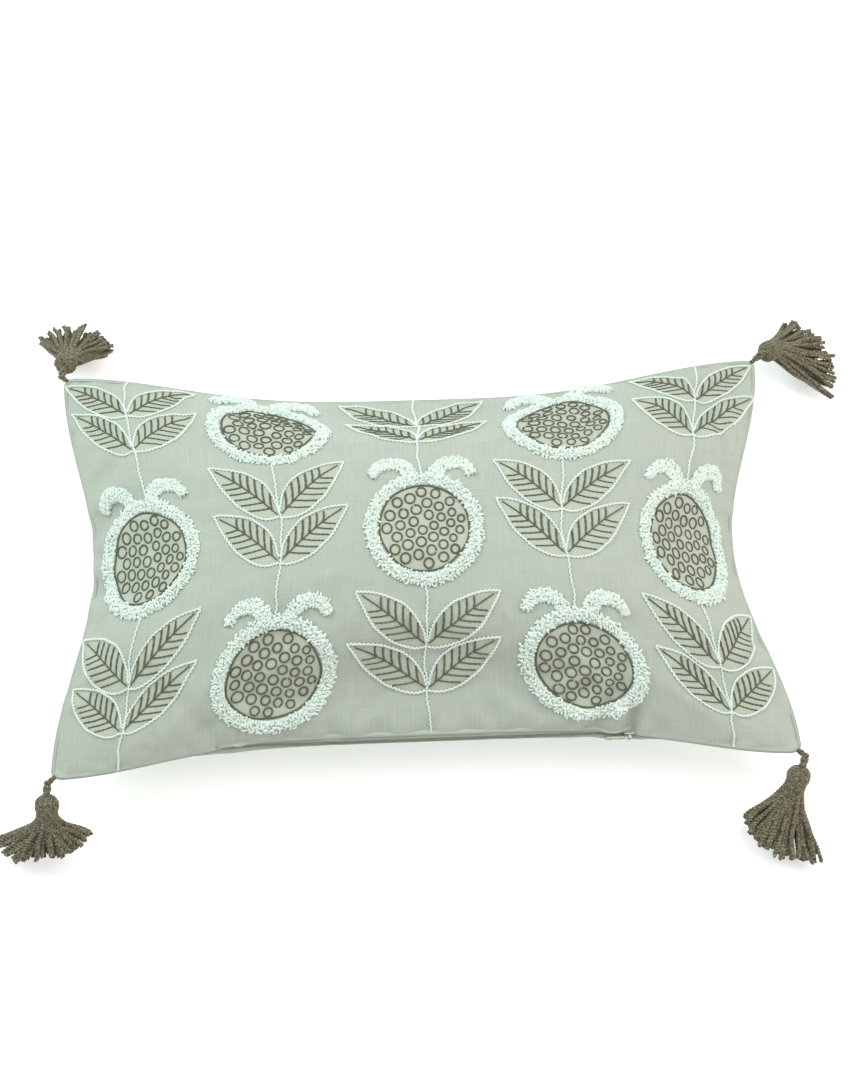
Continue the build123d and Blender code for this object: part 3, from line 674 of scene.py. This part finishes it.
def leaf_shapes():
    """Place, side, size and turn of every leaf, with small hand-sewn differences."""
    shapes = []
    for u, v, left, right, steep in LEAF_PAIRS:
        for mirror, reach in ((-1, left), (1, right)):
            grow = 1 + RNG.uniform(-0.02, 0.02)
            tip = np.array((LEAF_TIP[0] * reach, LEAF_TIP[1] * steep)) * grow
            size = math.hypot(*tip) / math.hypot(*LEAF_TIP)
            turn = math.atan2(tip[1], tip[0]) - math.atan2(LEAF_TIP[1], LEAF_TIP[0])
            shapes.append((u, v, mirror, size, turn))
    return shapes


LEAVES = leaf_shapes()


def leaf_line(line, shape):
    u, v, mirror, size, turn = shape
    x, y = np.asarray(line, float).T
    cos, sin = math.cos(turn), math.sin(turn)
    return np.stack([u + mirror * (size * x * cos - y * sin), v + size * x * sin + y * cos], -1)


def make_leaves():
    lower, upper = smooth_line(LEAF_LOWER), smooth_line(LEAF_UPPER)
    outline = resampled(np.concatenate([lower, upper[-2::-1]]), 0.42)
    outlines = [leaf_line(outline, shape) for shape in LEAVES]
    piece("leaf_outlines", *wavy_yarn(outlines), "pillow", WHITE_YARN, "white_yarn", ["leaf_outline_stitch"])
    rib = resampled(smooth_line(LEAF_RIB, 2), 0.55)
    sets = [stitched_line([leaf_line(rib, shape) for shape in LEAVES], 0.5, 3.2, 0.32)]
    for k in range(6):
        x = 5.2 + 5.1 * k
        y = np.interp(x, rib[:, 0], rib[:, 1])
        top = np.interp(x + 0.6, upper[:, 0], upper[:, 1]) - 1.7
        raised = [leaf_line(resampled([(x, y), (x + 0.6, 0.5 * (y + top)), (x + 0.3, top)], 0.55), shape)
                  for shape in LEAVES]
        sets.append(stitched_line(raised, RNG.uniform(0.6, 0.78, len(LEAVES)), 4.5, 0.25))
        x = 6.5 + 4.7 * k
        y = np.interp(x, rib[:, 0], rib[:, 1])
        right = np.interp(y - 1.0, lower[2:, 1], lower[2:, 0]) - 2.2
        flat = [leaf_line(resampled([(x, y), (0.5 * (x + right), y - 0.9), (right, y - 1.0)], 0.55), shape)
                for shape in LEAVES]
        sets.append(stitched_line(flat, RNG.uniform(0.46, 0.58, len(LEAVES)), 3.4, 0.2))
    piece("leaf_veins", *joined(*sets), "pillow", BROWN_YARN, "brown_yarn", ["leaf_vein_stitch"])


def make_stems():
    sets = []
    for stem in stem_lines():
        line = resampled(smooth_line(stem), 0.42)
        sway = 0.9 * np.sin(line[:, 1] / 13 + line[:, 0]) + 0.5 * np.sin(line[:, 1] / 4.7)
        sets.append(wavy_yarn([line + sway[:, None] * (1, 0)], 0.58, 0.42, 3.4, 0.5))
    piece("stems", *joined(*sets), "pillow", WHITE_YARN, "white_yarn", ["stem_stitch"])


def ring_line(u, v, radius_x, radius_y, turn, count, gap=0.0):
    angle = turn + np.linspace(gap, 2 * math.pi - gap * 0.3, count)
    return np.stack([u + radius_x * np.cos(angle), v + radius_y * np.sin(angle)], -1)


def packed_seeds():
    """Middles and radii of the rings sewn in a disc, larger at the left, pushed apart until none touch."""
    order = np.arange(SEEDS)
    out = (DISC_RADIUS - 4.5) * np.sqrt((order + 0.5) / SEEDS)
    turn = order * math.pi * (3 - math.sqrt(5)) + RNG.uniform(0, 2 * math.pi)
    middle = np.stack([out * np.cos(turn), out * np.sin(turn)], -1)
    size = RNG.uniform(2.9, 3.4, SEEDS) - 0.55 * middle[:, 0] / DISC_RADIUS
    for _ in range(120):
        gap = middle[:, None] - middle[None]
        apart = np.hypot(gap[..., 0], gap[..., 1]) + np.eye(SEEDS) * 99
        press = np.clip(size[:, None] + size[None] + 2.2 - apart, 0, None)
        middle = middle + 0.45 * (gap / apart[..., None] * press[..., None]).sum(1)
        reach = np.hypot(middle[:, 0], middle[:, 1])
        middle *= np.minimum(1, (DISC_RADIUS - size - 1.5) / np.maximum(reach, 0.01))[:, None]
    return middle, size


def make_discs():
    rings, seeds, widths = [], [], []
    for flower in FLOWERS:
        angle = np.linspace(0, 2 * math.pi, 200, endpoint=False)
        wobble = DISC_RADIUS + 0.3 * np.sin(3 * angle + flower[0]) + 0.2 * np.sin(7 * angle + flower[1])
        rings.append(np.stack(bloom(flower, wobble * np.cos(angle), wobble * np.sin(angle)), -1))
        for middle, size in zip(*packed_seeds()):
            gap = RNG.choice([0.0, 0.0, 0.0, 0.25])
            ring = ring_line(*middle, size * RNG.uniform(0.88, 1.02), size, RNG.uniform(0, 6.28), 26, gap)
            seeds.append(np.stack(bloom(flower, ring[:, 0], ring[:, 1]), -1))
            widths.append(RNG.uniform(0.56, 0.72))
    piece("disc_outlines", *stitched_line(rings, 0.66, 2.6, 0.26, True), "pillow", BROWN_YARN, "brown_yarn",
          ["flower_outline_stitch"])
    piece("seeds", *stitched_line(seeds, np.array(widths), 1.6, 0.2), "pillow", BROWN_YARN, "brown_yarn",
          ["seed_stitch"])


def loop_tubes(u, v, heading, length, height, radius, points=8):
    """Small standing loops of yarn at flat positions, in millimetres."""
    k = np.linspace(0, 1, points)[None, :]
    spread = (k - 0.5) * length[:, None]
    bow = RNG.normal(0, 0.35, len(u))[:, None] * np.sin(math.pi * k)
    cos, sin = np.cos(heading)[:, None], np.sin(heading)[:, None]
    x = u[:, None] + spread * cos - bow * sin
    y = v[:, None] + spread * sin + bow * cos
    lift = 0.15 + height[:, None] * np.sin(math.pi * k) ** 0.75
    placed, normals = on_front(x, y, lift)
    side = unit(np.gradient(placed, axis=1))
    up = unit(np.cross(side, np.cross(normals, side) + 1e-9))
    thick = radius[:, None] * (1 + 0.18 * np.sin(3 * math.pi * k + u[:, None])) * MM
    return tubes(placed, thick, up, sides=5)


def tuft_loops(flower):
    """Loops of one flower's ring: short standing ones in random directions, and an outward fringe."""
    sets = []
    for radius, gap, length, height, swing in (
            (32.4, 1.9, 2.5, 1.3, 0.9), (34.0, 1.7, 2.7, 2.1, 1.3), (35.7, 1.7, 2.8, 2.5, 1.3),
            (37.3, 1.7, 2.8, 2.1, 1.1), (38.7, 1.8, 2.8, 1.3, 0.7)):
        count = int(2 * math.pi * radius / gap)
        angle = (np.arange(count) + RNG.uniform(-0.4, 0.4, count)) * 2 * math.pi / count
        out = radius + RNG.normal(0, 0.6, count)
        sets.append(loop_tubes(*bloom(flower, out * np.cos(angle), out * np.sin(angle)),
                               angle + RNG.normal(0, swing, count), length * RNG.uniform(0.75, 1.25, count),
                               height * RNG.uniform(0.6, 1.2, count), RNG.uniform(0.62, 0.88, count)))
    return sets


def horn_line(mirror):
    """Middle line of a horn from the ring, over its arch and down to its tip."""
    line = [(7.5, 36), (9.5, 42), (14, 46.5), (20, 48), (26, 47), (30.5, 43.5), (32.5, 38.5)]
    return resampled(smooth_line(line), 0.9) * (mirror, 1)


def horn_loops(flower, mirror):
    line = horn_line(mirror)
    along = unit(np.gradient(line, axis=0))
    side = np.stack([-along[:, 1], along[:, 0]], -1)
    share = np.linspace(0, 1, len(line))
    half = np.interp(share, [0, 0.15, 0.6, 1], [3.4, 4.6, 4.2, 2.4])
    sets = []
    for offset in (-0.8, -0.4, 0.0, 0.4, 0.8):
        place = line + side * (offset * half)[:, None] + RNG.normal(0, 0.4, line.shape)
        heading = np.arctan2(side[:, 1], side[:, 0]) + RNG.normal(0, 0.9, len(line))
        count = len(line)
        sets.append(loop_tubes(*bloom(flower, place[:, 0], place[:, 1]), heading,
                               RNG.uniform(2.2, 3.6, count),
                               RNG.uniform(1.4, 3.0, count) * (1.1 - abs(offset) * 0.4),
                               RNG.uniform(0.62, 0.85, count)))
    return sets


def mat(flower, inner, outer, height):
    """Low pad of packed stitches under a ring's loops."""
    angle = np.linspace(0, 2 * math.pi, 181)[None, :]
    share = np.linspace(0, 1, 9)[:, None]
    radius = inner + (outer - inner) * share
    lift = 0.05 + height * np.sin(math.pi * share) ** 0.5 * (1 + 0.25 * np.sin(40 * angle + 9 * share))
    points, _ = on_front(*bloom(flower, radius * np.cos(angle), radius * np.sin(angle)), lift)
    index = np.arange(points.shape[0] * points.shape[1]).reshape(points.shape[:2])
    return points.reshape(-1, 3), quads(index)[:, ::-1]


def make_tufts():
    for number, flower in enumerate(FLOWERS, 1):
        ring = joined(mat(flower, TUFT_INNER - 0.8, TUFT_OUTER - 1.2, 1.0), *tuft_loops(flower))
        piece(f"tufted_ring_{number}", *ring, "pillow", WHITE_YARN, "white_yarn",
              ["tufted_ring"] if number == 1 else ())
        horns = joined(*horn_loops(flower, -1), *horn_loops(flower, 1))
        piece(f"tufted_horns_{number}", *horns, "pillow", WHITE_YARN, "white_yarn",
              ["tufted_horns"] if number == 1 else ())


def tint_front(front):
    """Marks the cloth inside discs and leaves, which is a little more beige."""
    mesh = front.data
    points = np.empty(len(mesh.vertices) * 3)
    mesh.vertices.foreach_get("co", points)
    uv = np.empty(len(mesh.loops) * 2)
    mesh.uv_layers["cloth"].data.foreach_get("uv", uv)
    loops = np.empty(len(mesh.loops), int)
    mesh.loops.foreach_get("vertex_index", loops)
    place = np.zeros((len(mesh.vertices), 2))
    place[loops] = uv.reshape(-1, 2) / MM
    tint = np.zeros(len(place))
    for u, v, wide, tall, lean in FLOWERS:
        y = (place[:, 1] - v) / tall
        out = np.hypot((place[:, 0] - u - lean * y) / wide, y)
        tint = np.maximum(tint, np.clip((DISC_RADIUS + 1 - out) / 2, 0, 1))
    lower, upper = smooth_line(LEAF_LOWER), smooth_line(LEAF_UPPER)
    for u, v, mirror, size, turn in LEAVES:
        cos, sin = math.cos(turn), math.sin(turn)
        across, along = mirror * (place[:, 0] - u), place[:, 1] - v
        x, y = (across * cos + along * sin) / size, along * cos - across * sin
        under_top = np.interp(x, upper[:, 0], upper[:, 1]) - y
        over_bottom = y - np.interp(x, lower[:, 0], lower[:, 1])
        inside = np.minimum(under_top, over_bottom)
        tint = np.maximum(tint, np.clip(inside / 2, 0, 1) * (x > 0) * (x < LEAF_TIP[0]))
    attribute = mesh.attributes.new("beige", "FLOAT", "POINT")
    attribute.data.foreach_set("value", tint)


# ---- Insert inside the cover ---------------------------------------------------------------------
INSERT_INSET = 9.5 * MM
INSERT_ROUND = 14 * MM          # how far in from its seam the insert rounds over
CASING_DEPTH, FIBRE_DEPTH = 2.6 * MM, 4.2 * MM      # in from the middle of the cover's cloth


def inner_grid(panel, other, depth):
    """Panel moved into the cover by depth and closed on the middle between both panels at its own edge."""
    u = np.linspace(-1, 1, CELLS_X + 1)[:, None] * (FLAT_X - INSERT_INSET)
    v = np.linspace(-1, 1, CELLS_Y + 1)[None, :] * (FLAT_Y - INSERT_INSET)
    u, v = np.broadcast_arrays(u, v)
    near, far = panel.at(u, v, -depth)[0], other.at(u, v, -depth)[0]
    middle = (near + far) / 2
    from_edge = np.minimum(FLAT_X - INSERT_INSET - np.abs(u), FLAT_Y - INSERT_INSET - np.abs(v))
    share = np.clip(from_edge / INSERT_ROUND, 0, 1)
    rounded = np.sqrt(1 - (1 - share) ** 2)[..., None]
    crossed = ((near - far)[..., 2] * panel.side < 0.4 * MM)[..., None]
    near = np.where(crossed, middle + np.array((0, 0, 0.2 * MM * panel.side)), near)
    return middle + (near - middle) * rounded


def make_insert():
    """The insert's two casing panels, the thread that closes them and the fibre they hold."""
    index = np.arange((CELLS_X + 1) * (CELLS_Y + 1)).reshape(CELLS_X + 1, CELLS_Y + 1)
    grids = inner_grid(FRONT, BACK, CASING_DEPTH), inner_grid(BACK, FRONT, CASING_DEPTH)
    for name, grid, faces in (("front", grids[0], quads(index)), ("back", grids[1], quads(index)[:, ::-1])):
        casing = piece(f"insert_{name}", grid, faces, "pillow", CASING_CLOTH, "casing_cloth",
                       [f"insert_casing_{name}"], grid.reshape(-1, 3)[:, :2])
        thicken(casing, 0.4 * MM)
    fill_front, fill_back = inner_grid(FRONT, BACK, FIBRE_DEPTH), inner_grid(BACK, FRONT, FIBRE_DEPTH)
    points, faces, *_ = closed_sheets(fill_front, fill_back)
    fibre = piece("fibre", points, faces, "pillow", FIBRE, "fibre_fill", ["fibre_fill"])
    edge = edge_ring(grids[0])
    thread = tubes(edge[None], 0.3 * MM, (0, 0, 1.0), sides=5, closed=True)
    piece("insert_seam", *thread, "pillow", CASING_THREAD, "casing_thread", ["insert_thread"])


# ---- Seam, zip -----------------------------------------------------------------------------------
def make_seam_thread():
    """Lock stitches that close the seam, set in from the folded lips, and stop at the zip."""
    edge = edge_ring(0.5 * (FRONT.grid + BACK.grid))
    edge = np.concatenate([edge, edge[:1]])
    length = np.concatenate([[0], np.cumsum(np.linalg.norm(np.diff(edge, axis=0), axis=1))])
    at = np.arange(0, length[-1], 0.6 * MM)
    line = np.stack([np.interp(at, length, edge[:, k]) for k in range(3)], -1)
    along = unit(np.roll(line, -1, 0) - np.roll(line, 1, 0)) * (1, 1, 0)
    inward = -unit(np.cross(along, (0, 0, 1.0)))
    inward *= np.sign(-(inward[:, :2] * line[:, :2]).sum(1))[:, None]
    line = line + inward * 1.6 * MM
    phase = 2 * math.pi * at / (2.6 * MM)
    line[:, 2] += 0.18 * MM * np.sin(phase)
    on_zip = (line[:, 1] < 0) & (np.abs(line[:, 0]) < ZIP_HALF) & (np.abs(along[:, 0]) > 0.7)
    runs = np.split(np.arange(len(line)), np.nonzero(np.diff(on_zip.astype(int)))[0] + 1)
    sets = []
    for run in runs:
        if not on_zip[run[0]] and len(run) > 2:
            thick = 0.28 * MM * (0.8 + 0.3 * np.abs(np.sin(phase[run] / 2)))
            sets.append(tubes(line[run][None], thick[None], (0, 0, 1.0), sides=5))
    return joined(*sets)


def coil(node):
    """Spiral of one side of the zip, at the height of the CAD's coil."""
    pitch, wire, end_gap = 1.25 * MM, 0.25 * MM, 0.6 * MM
    low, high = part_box(node)
    middle, radius = (low + high) / 2, (high.z - low.z) / 2 - 0.26 * MM
    turns = (high.x - low.x - 2 * end_gap) / pitch
    angle = np.arange(0, 2 * math.pi * turns, 2 * math.pi / 10)
    x = low.x + end_gap + angle / (2 * math.pi) * pitch
    line = np.stack([x, middle.y + radius * np.cos(angle), middle.z + radius * np.sin(angle)], -1)
    return tubes(line[None], wire, (1.0, 0, 0), sides=5)


# ---- Tassels -------------------------------------------------------------------------------------
# Each corner's head: degrees it hangs below level and its length; its skirt: the headings between which
# its strands spread, and their lengths at the two sides and in the middle. Lengths in millimetres
CORNERS = {
    "far_left": (33, 10, 30, 136, 38, 42, 42),
    "far_right": (33, 10, -32, 54, 59, 56, 46),
    "near_left": (38, 13, 190, 346, 44, 28, 30),
    "near_right": (38, 13, 212, 288, 40, 48, 54),
}
HEAD_START, NECK_FILL = 1.8 * MM, 5.0 * MM
LOOP_END, CORD, CORD_PITCH = 1.35 * MM, 1.35 * MM, 3.0 * MM


def joint_named(name):
    return next(joint for joint in frame["joints"] if joint["name"] == name)


def tassel_frame(corner, hang):
    """Where the tassel's eye is, and its length, width and upward directions."""
    tip = joint_named(f"tassel_{corner}_tip")
    eye, width = np.array(tip["pos_m"], float), unit(np.array(tip["axis"], float))
    level = np.cross(width, (0, 0, 1.0))
    length = level * math.cos(math.radians(hang)) - np.array((0, 0, math.sin(math.radians(hang))))
    return eye, length, width, np.cross(length, width)


def in_frame(place, points):
    eye, length, width, up = place
    return eye + points[..., 0:1] * length + points[..., 1:2] * width + points[..., 2:3] * up


def cord_link(start, end, side, radius, thickness):
    """Two-ply cord in a closed link between two round ends, lying in the plane of side."""
    along = unit(end - start)
    turn = np.linspace(0, 2 * math.pi, 96, endpoint=False)
    reach = np.linalg.norm(end - start) / 2
    shift = (np.clip(np.cos(turn) * 3, -1, 1) * reach + radius * np.cos(turn))[:, None]
    line = (start + end) / 2 + shift * along + (radius * np.sin(turn))[:, None] * side
    length = np.linalg.norm(np.roll(line, -1, 0) - line, axis=1).sum()
    twists = max(round(length / CORD_PITCH), 2)
    tangent = unit(np.roll(line, -1, 0) - np.roll(line, 1, 0))
    normal = unit(np.cross(along, side))
    across = np.cross(tangent, normal)
    plies = []
    for k in range(2):
        phase = (twists * turn + math.pi * k)[:, None]
        plies.append(line + 0.5 * thickness * (np.cos(phase) * across + np.sin(phase) * normal))
    return tubes(np.stack(plies), 0.56 * thickness, normal, sides=7, closed=True)


def bulb_radius(share):
    """Outline of the head at a share of its length."""
    shares, radii = [0, 0.06, 0.16, 0.34, 0.55, 0.75, 0.9, 1], [1.4, 3.6, 5.6, 7.2, 7.6, 7.0, 6.0, 5.4]
    return np.interp(share, shares, radii) * MM


def plied_yarn(line, twist_radius, pitch, outward, ply_radius):
    """Two-ply yarn along lines that lie on a surface facing outward."""
    plies = plied(line, twist_radius, pitch, outward)
    return tubes(plies, ply_radius, np.concatenate([outward, outward]), sides=6)


def make_head(corner, place):
    """Yarns folded over the loop and gathered at the neck, over a solid middle, with the eye they hang by."""
    strands, count, head = 24, 40, CORNERS[corner][1] * MM
    angle = (np.arange(strands) + RNG.uniform(-0.25, 0.25, strands)) * 2 * math.pi / strands
    share = np.linspace(0, 1, count)[None, :]
    down = 0.02 + 0.97 * share ** 1.05 + 0 * angle[:, None]
    x = HEAD_START + head * down
    twist = angle[:, None] + 0.25 * share + 0.06 * np.sin(5 * share + angle[:, None])
    radius = bulb_radius(down) - 0.95 * MM + RNG.normal(0, 0.25 * MM, (strands, 1))
    line = np.stack([x, radius * np.cos(twist), radius * np.sin(twist)], -1)
    outward = np.stack([0 * x, np.cos(twist), np.sin(twist)], -1)
    yarns = plied_yarn(line, 0.62 * MM, 3.2 * MM, outward, 0.74 * MM)
    turn = np.linspace(0, 2 * math.pi, 24, endpoint=False)[None, :]
    along = np.linspace(0, 1, 16)[:, None]
    x = HEAD_START + head * along + 0 * turn
    radius = np.maximum(bulb_radius(along + 0 * turn) - 1.2 * MM, 0.3 * MM)
    core = np.stack([x, radius * np.cos(turn), radius * np.sin(turn)], -1)
    index = np.arange(core.shape[0] * core.shape[1]).reshape(core.shape[:2])
    core_faces = quads(np.concatenate([index, index[:, :1]], 1))
    eye, length, _, up = place
    ring = cord_link(eye - length * 0.1 * MM, eye + length * 0.1 * MM, up, LOOP_END * 1.05, CORD)
    points, faces = joined((in_frame(place, yarns[0]), yarns[1]),
                           (in_frame(place, core.reshape(-1, 3)), core_faces), ring)
    piece(f"head_{corner}", points, faces, f"tassel_{corner}", TASSEL_YARN, "tassel_yarn",
          [f"tassel_head_{corner}"])


def make_binding(corner, place):
    """Turns of yarn round the neck, the last end tucked under."""
    turns = 3.2
    angle = np.linspace(0, 2 * math.pi * turns, 190)
    share = angle / angle[-1]
    x = HEAD_START + CORNERS[corner][1] * MM + (share - 0.5) * 4.6 * MM
    radius = 5.9 * MM + 0.5 * MM * np.sin(math.pi * share) ** 0.5
    line = np.stack([x, radius * np.cos(angle), radius * np.sin(angle)], -1)[None]
    outward = np.stack([0 * angle, np.cos(angle), np.sin(angle)], -1)[None]
    yarns = plied_yarn(line, 0.42 * MM, 3.0 * MM, outward, 0.52 * MM)
    piece(f"binding_{corner}", in_frame(place, yarns[0]), yarns[1], f"tassel_{corner}", TASSEL_YARN,
          "tassel_yarn", [f"neck_binding_{corner}"])


def make_skirt(corner, place):
    """Strands of two-ply yarn that leave the neck, fall to the table and spread over it."""
    _, head, low, high, first, middle, last = CORNERS[corner]
    strands, count = 96, 52
    order = np.arange(strands)
    golden = order * math.pi * (3 - math.sqrt(5))
    ring = NECK_FILL * np.sqrt((order + 0.5) / strands)
    y0, z0 = ring * np.cos(golden), ring * np.sin(golden)
    _, length, width, up = place
    neck = in_frame(place, np.stack([np.full(strands, HEAD_START + head * MM), y0, z0], -1))
    across = y0 / NECK_FILL
    spread = np.clip(0.5 + 0.52 * across + RNG.normal(0, 0.08, strands), 0, 1)
    heading = np.radians(low + (high - low) * spread)
    level = np.stack([np.cos(heading), np.sin(heading), np.zeros(strands)], -1)
    reach = np.interp(spread, [0, 0.5, 1], [first, middle, last]) * MM * RNG.uniform(0.94, 1.03, strands)
    start = unit(length + 0.35 * (y0[:, None] * width + z0[:, None] * up) / NECK_FILL)
    layer = 1.6 * MM + (z0 / NECK_FILL + 1) * 5.4 * MM * RNG.uniform(0.75, 1.1, strands)
    phase, sway = RNG.uniform(0, 6.28, (2, strands)), RNG.uniform(0.05, 0.26, (2, strands))
    point, line = neck, [neck]
    for k in range(1, count):
        share = k / (count - 1)
        turn = np.clip(share / 0.45, 0, 1) ** 1.2
        fall = np.clip((point[:, 2] - layer) / (14 * MM), 0, 1)
        aim = level * (0.25 + turn) + start * (1 - turn) - np.array((0, 0, 1.0)) * (fall * 0.75)[:, None]
        sideways = np.stack([-level[:, 1], level[:, 0], 0 * heading], -1)
        aim = aim + sideways * (sway[0] * np.sin(7 * share + phase[0]))[:, None] * share * 1.6
        aim[:, 2] += sway[1] * np.sin(9 * share + phase[1]) * share
        point = point + unit(aim) * (reach / (count - 1))[:, None]
        point[:, 2] = np.maximum(point[:, 2], np.minimum(layer, line[-1][:, 2]))
        line.append(point)
    line = np.stack(line, 1)
    yarns = tubes(plied(line, 0.82 * MM, 4.6 * MM, (0, 0, 1.0)), 0.86 * MM, (0, 0, 1.0), sides=6)
    piece(f"strands_{corner}", *yarns, f"tassel_{corner}", TASSEL_YARN, "tassel_yarn", [f"skirt_{corner}"])


def make_tassels():
    for corner in CORNERS:
        place = tassel_frame(corner, CORNERS[corner][0])
        eye, hook = place[0], np.array(joint_named(f"loop_{corner}_swing")["pos_m"], float)
        level = unit((eye - hook) * (1, 1, 0))
        across = np.cross((0, 0, 1.0), level)
        link = cord_link(hook + level * 0.5 * MM, eye - level * 0.5 * MM, across, LOOP_END, CORD)
        piece(f"link_{corner}", *link, f"loop_{corner}", TASSEL_YARN, "tassel_yarn", [f"loop_{corner}"])
        side = np.sign(hook[:2])
        tip = FRONT.grid[-1 if side[0] > 0 else 0, -1 if side[1] > 0 else 0]
        inside = tip + np.array((side[0], side[1], 0)) * 1.2 * MM
        ring = cord_link(inside, hook - unit(hook - inside) * 1.4 * MM, np.array((0, 0, 1.0)), 1.6 * MM, CORD)
        piece(f"eyelet_{corner}", *ring, "pillow", TASSEL_YARN, "tassel_yarn", [f"anchor_{corner}"])
        make_head(corner, place)
        make_binding(corner, place)
        make_skirt(corner, place)


# ---- Zip -----------------------------------------------------------------------------------------
def tape(panel):
    """Woven tape of one side of the zip, from behind the cover's lip out to its coil."""
    x = np.linspace(-ZIP_HALF, ZIP_HALF, 140)
    u = np.interp(x, panel.grid[:, 0, 0], np.linspace(-FLAT_X, FLAT_X, panel.grid.shape[0]))
    rows = []
    for inside in (13, 10, 7.5, 5.5):
        rows.append(panel.at(u, u * 0 + inside * MM - FLAT_Y, -1.3 * MM)[0])
    low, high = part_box("zip_coil_upper")
    edge = rows[-1].copy()
    edge[:, 1], edge[:, 2] = (low.y + high.y) / 2 + 2.6 * MM, SEAM_Z + panel.side * (high.z - SEAM_Z)
    rows += [edge, edge - (0, 2.4 * MM, 0)]
    points = np.stack(rows)
    points = np.concatenate([points, points - (0, 0, 0.35 * MM * panel.side)])
    index = np.arange(12 * len(x)).reshape(12, len(x))
    index = np.concatenate([index[:6], index[:5:-1], index[:1]])
    return points.reshape(-1, 3), quads(index)


def make_zip():
    for side in ("upper", "lower"):
        node = f"zip_coil_{side}"
        piece(f"coil_{side}", *coil(node), "pillow", ZIP_COIL, "zip_coil", [node])
        piece(f"tape_{side}", *tape(FRONT if side == "upper" else BACK), "pillow", TAPE_CLOTH, "zip_tape",
              [f"zip_tape_{side}"])
    for node in ("zip_top_stop", "zip_bottom_stop", "zip_slider", "zip_pull"):
        finish_node(node, ZIP_METAL)


def finish_node(node, material):
    """Gives a CAD part that stays as it is its material."""
    obj = frame["nodes"][node]
    obj.data.materials.clear()
    obj.data.materials.append(material)


# ---- Camera, light and floor ---------------------------------------------------------------------
def make_camera(azimuth, elevation, roll, distance, target):
    azimuth, elevation, roll = (math.radians(angle) for angle in (azimuth, elevation, roll))
    back = Vector((math.sin(azimuth) * math.cos(elevation), -math.cos(azimuth) * math.cos(elevation),
                   math.sin(elevation)))
    right = Vector((math.cos(azimuth), math.sin(azimuth), 0))
    up = back.cross(right)
    turned = right * math.cos(roll) + up * math.sin(roll)
    up = back.cross(turned)
    data = bpy.data.cameras.new("camera")
    data.sensor_fit = "VERTICAL"
    data.sensor_height = 36
    data.lens = 60
    data.clip_start = 0.05
    camera = bpy.data.objects.new("camera", data)
    camera.matrix_world = Matrix.Translation(Vector((*target, 0)) + back * distance) @ Matrix(
        (turned, up, back)).transposed().to_4x4()
    bpy.context.scene.collection.objects.link(camera)
    bpy.context.scene.camera = camera


def area_light(name, place, aim, size, power, colour):
    data = bpy.data.lights.new(name, "AREA")
    data.shape = "RECTANGLE"
    data.size, data.size_y = size
    data.energy, data.color = power, colour
    light = bpy.data.objects.new(name, data)
    light.location = place
    light.rotation_euler = (Vector(place) - Vector(aim)).to_track_quat("Z", "Y").to_euler()
    bpy.context.scene.collection.objects.link(light)
    return light


def make_studio():
    mesh = bpy.data.meshes.new("floor")
    mesh.from_pydata([(-6, -6, 0), (6, -6, 0), (6, 6, 0), (-6, 6, 0)], [], [(0, 1, 2, 3)])
    floor = bpy.data.objects.new("floor", mesh)
    paper = Nodes("floor_paper", 0.9)
    paper.surface.inputs["Emission Color"].default_value = (1, 1, 1, 1)
    paper.surface.inputs["Emission Strength"].default_value = 0.3
    mesh.materials.append(paper.finish(srgb(252, 252, 252)))
    bpy.context.scene.collection.objects.link(floor)
    lights = [
        area_light("key", (-0.9, 0.55, 1.1), (-0.05, 0, 0.05), (0.9, 0.8), 10.5, (0.84, 1.0, 1.02)),
        area_light("top", (0.7, 0.3, 1.5), (0.1, 0, 0.05), (1.2, 1.0), 11, (1.0, 0.98, 0.97)),
        area_light("side", (1.2, -0.15, 0.6), (0.15, 0, 0.05), (0.5, 0.5), 2.4, (1.0, 0.99, 0.97)),
    ]
    world = bpy.data.worlds.new("studio")
    world.use_nodes = True
    world.node_tree.nodes["Background"].inputs["Color"].default_value = (1, 1, 1, 1)
    world.node_tree.nodes["Background"].inputs["Strength"].default_value = 0.6
    bpy.context.scene.world = world
    bpy.context.scene.view_settings.view_transform = "Standard"


# ---- Build ---------------------------------------------------------------------------------------
tint_front(make_cover())
piece("seam", *make_seam_thread(), "pillow", SEWING_THREAD, "seam_thread", ["seam_thread"])
make_insert()
make_zip()
make_stems()
make_leaves()
make_discs()
make_tufts()
make_tassels()
make_camera(-6.82, 68.38, 4.56, 1.2715, (0.0106, 0.0321))
make_studio()
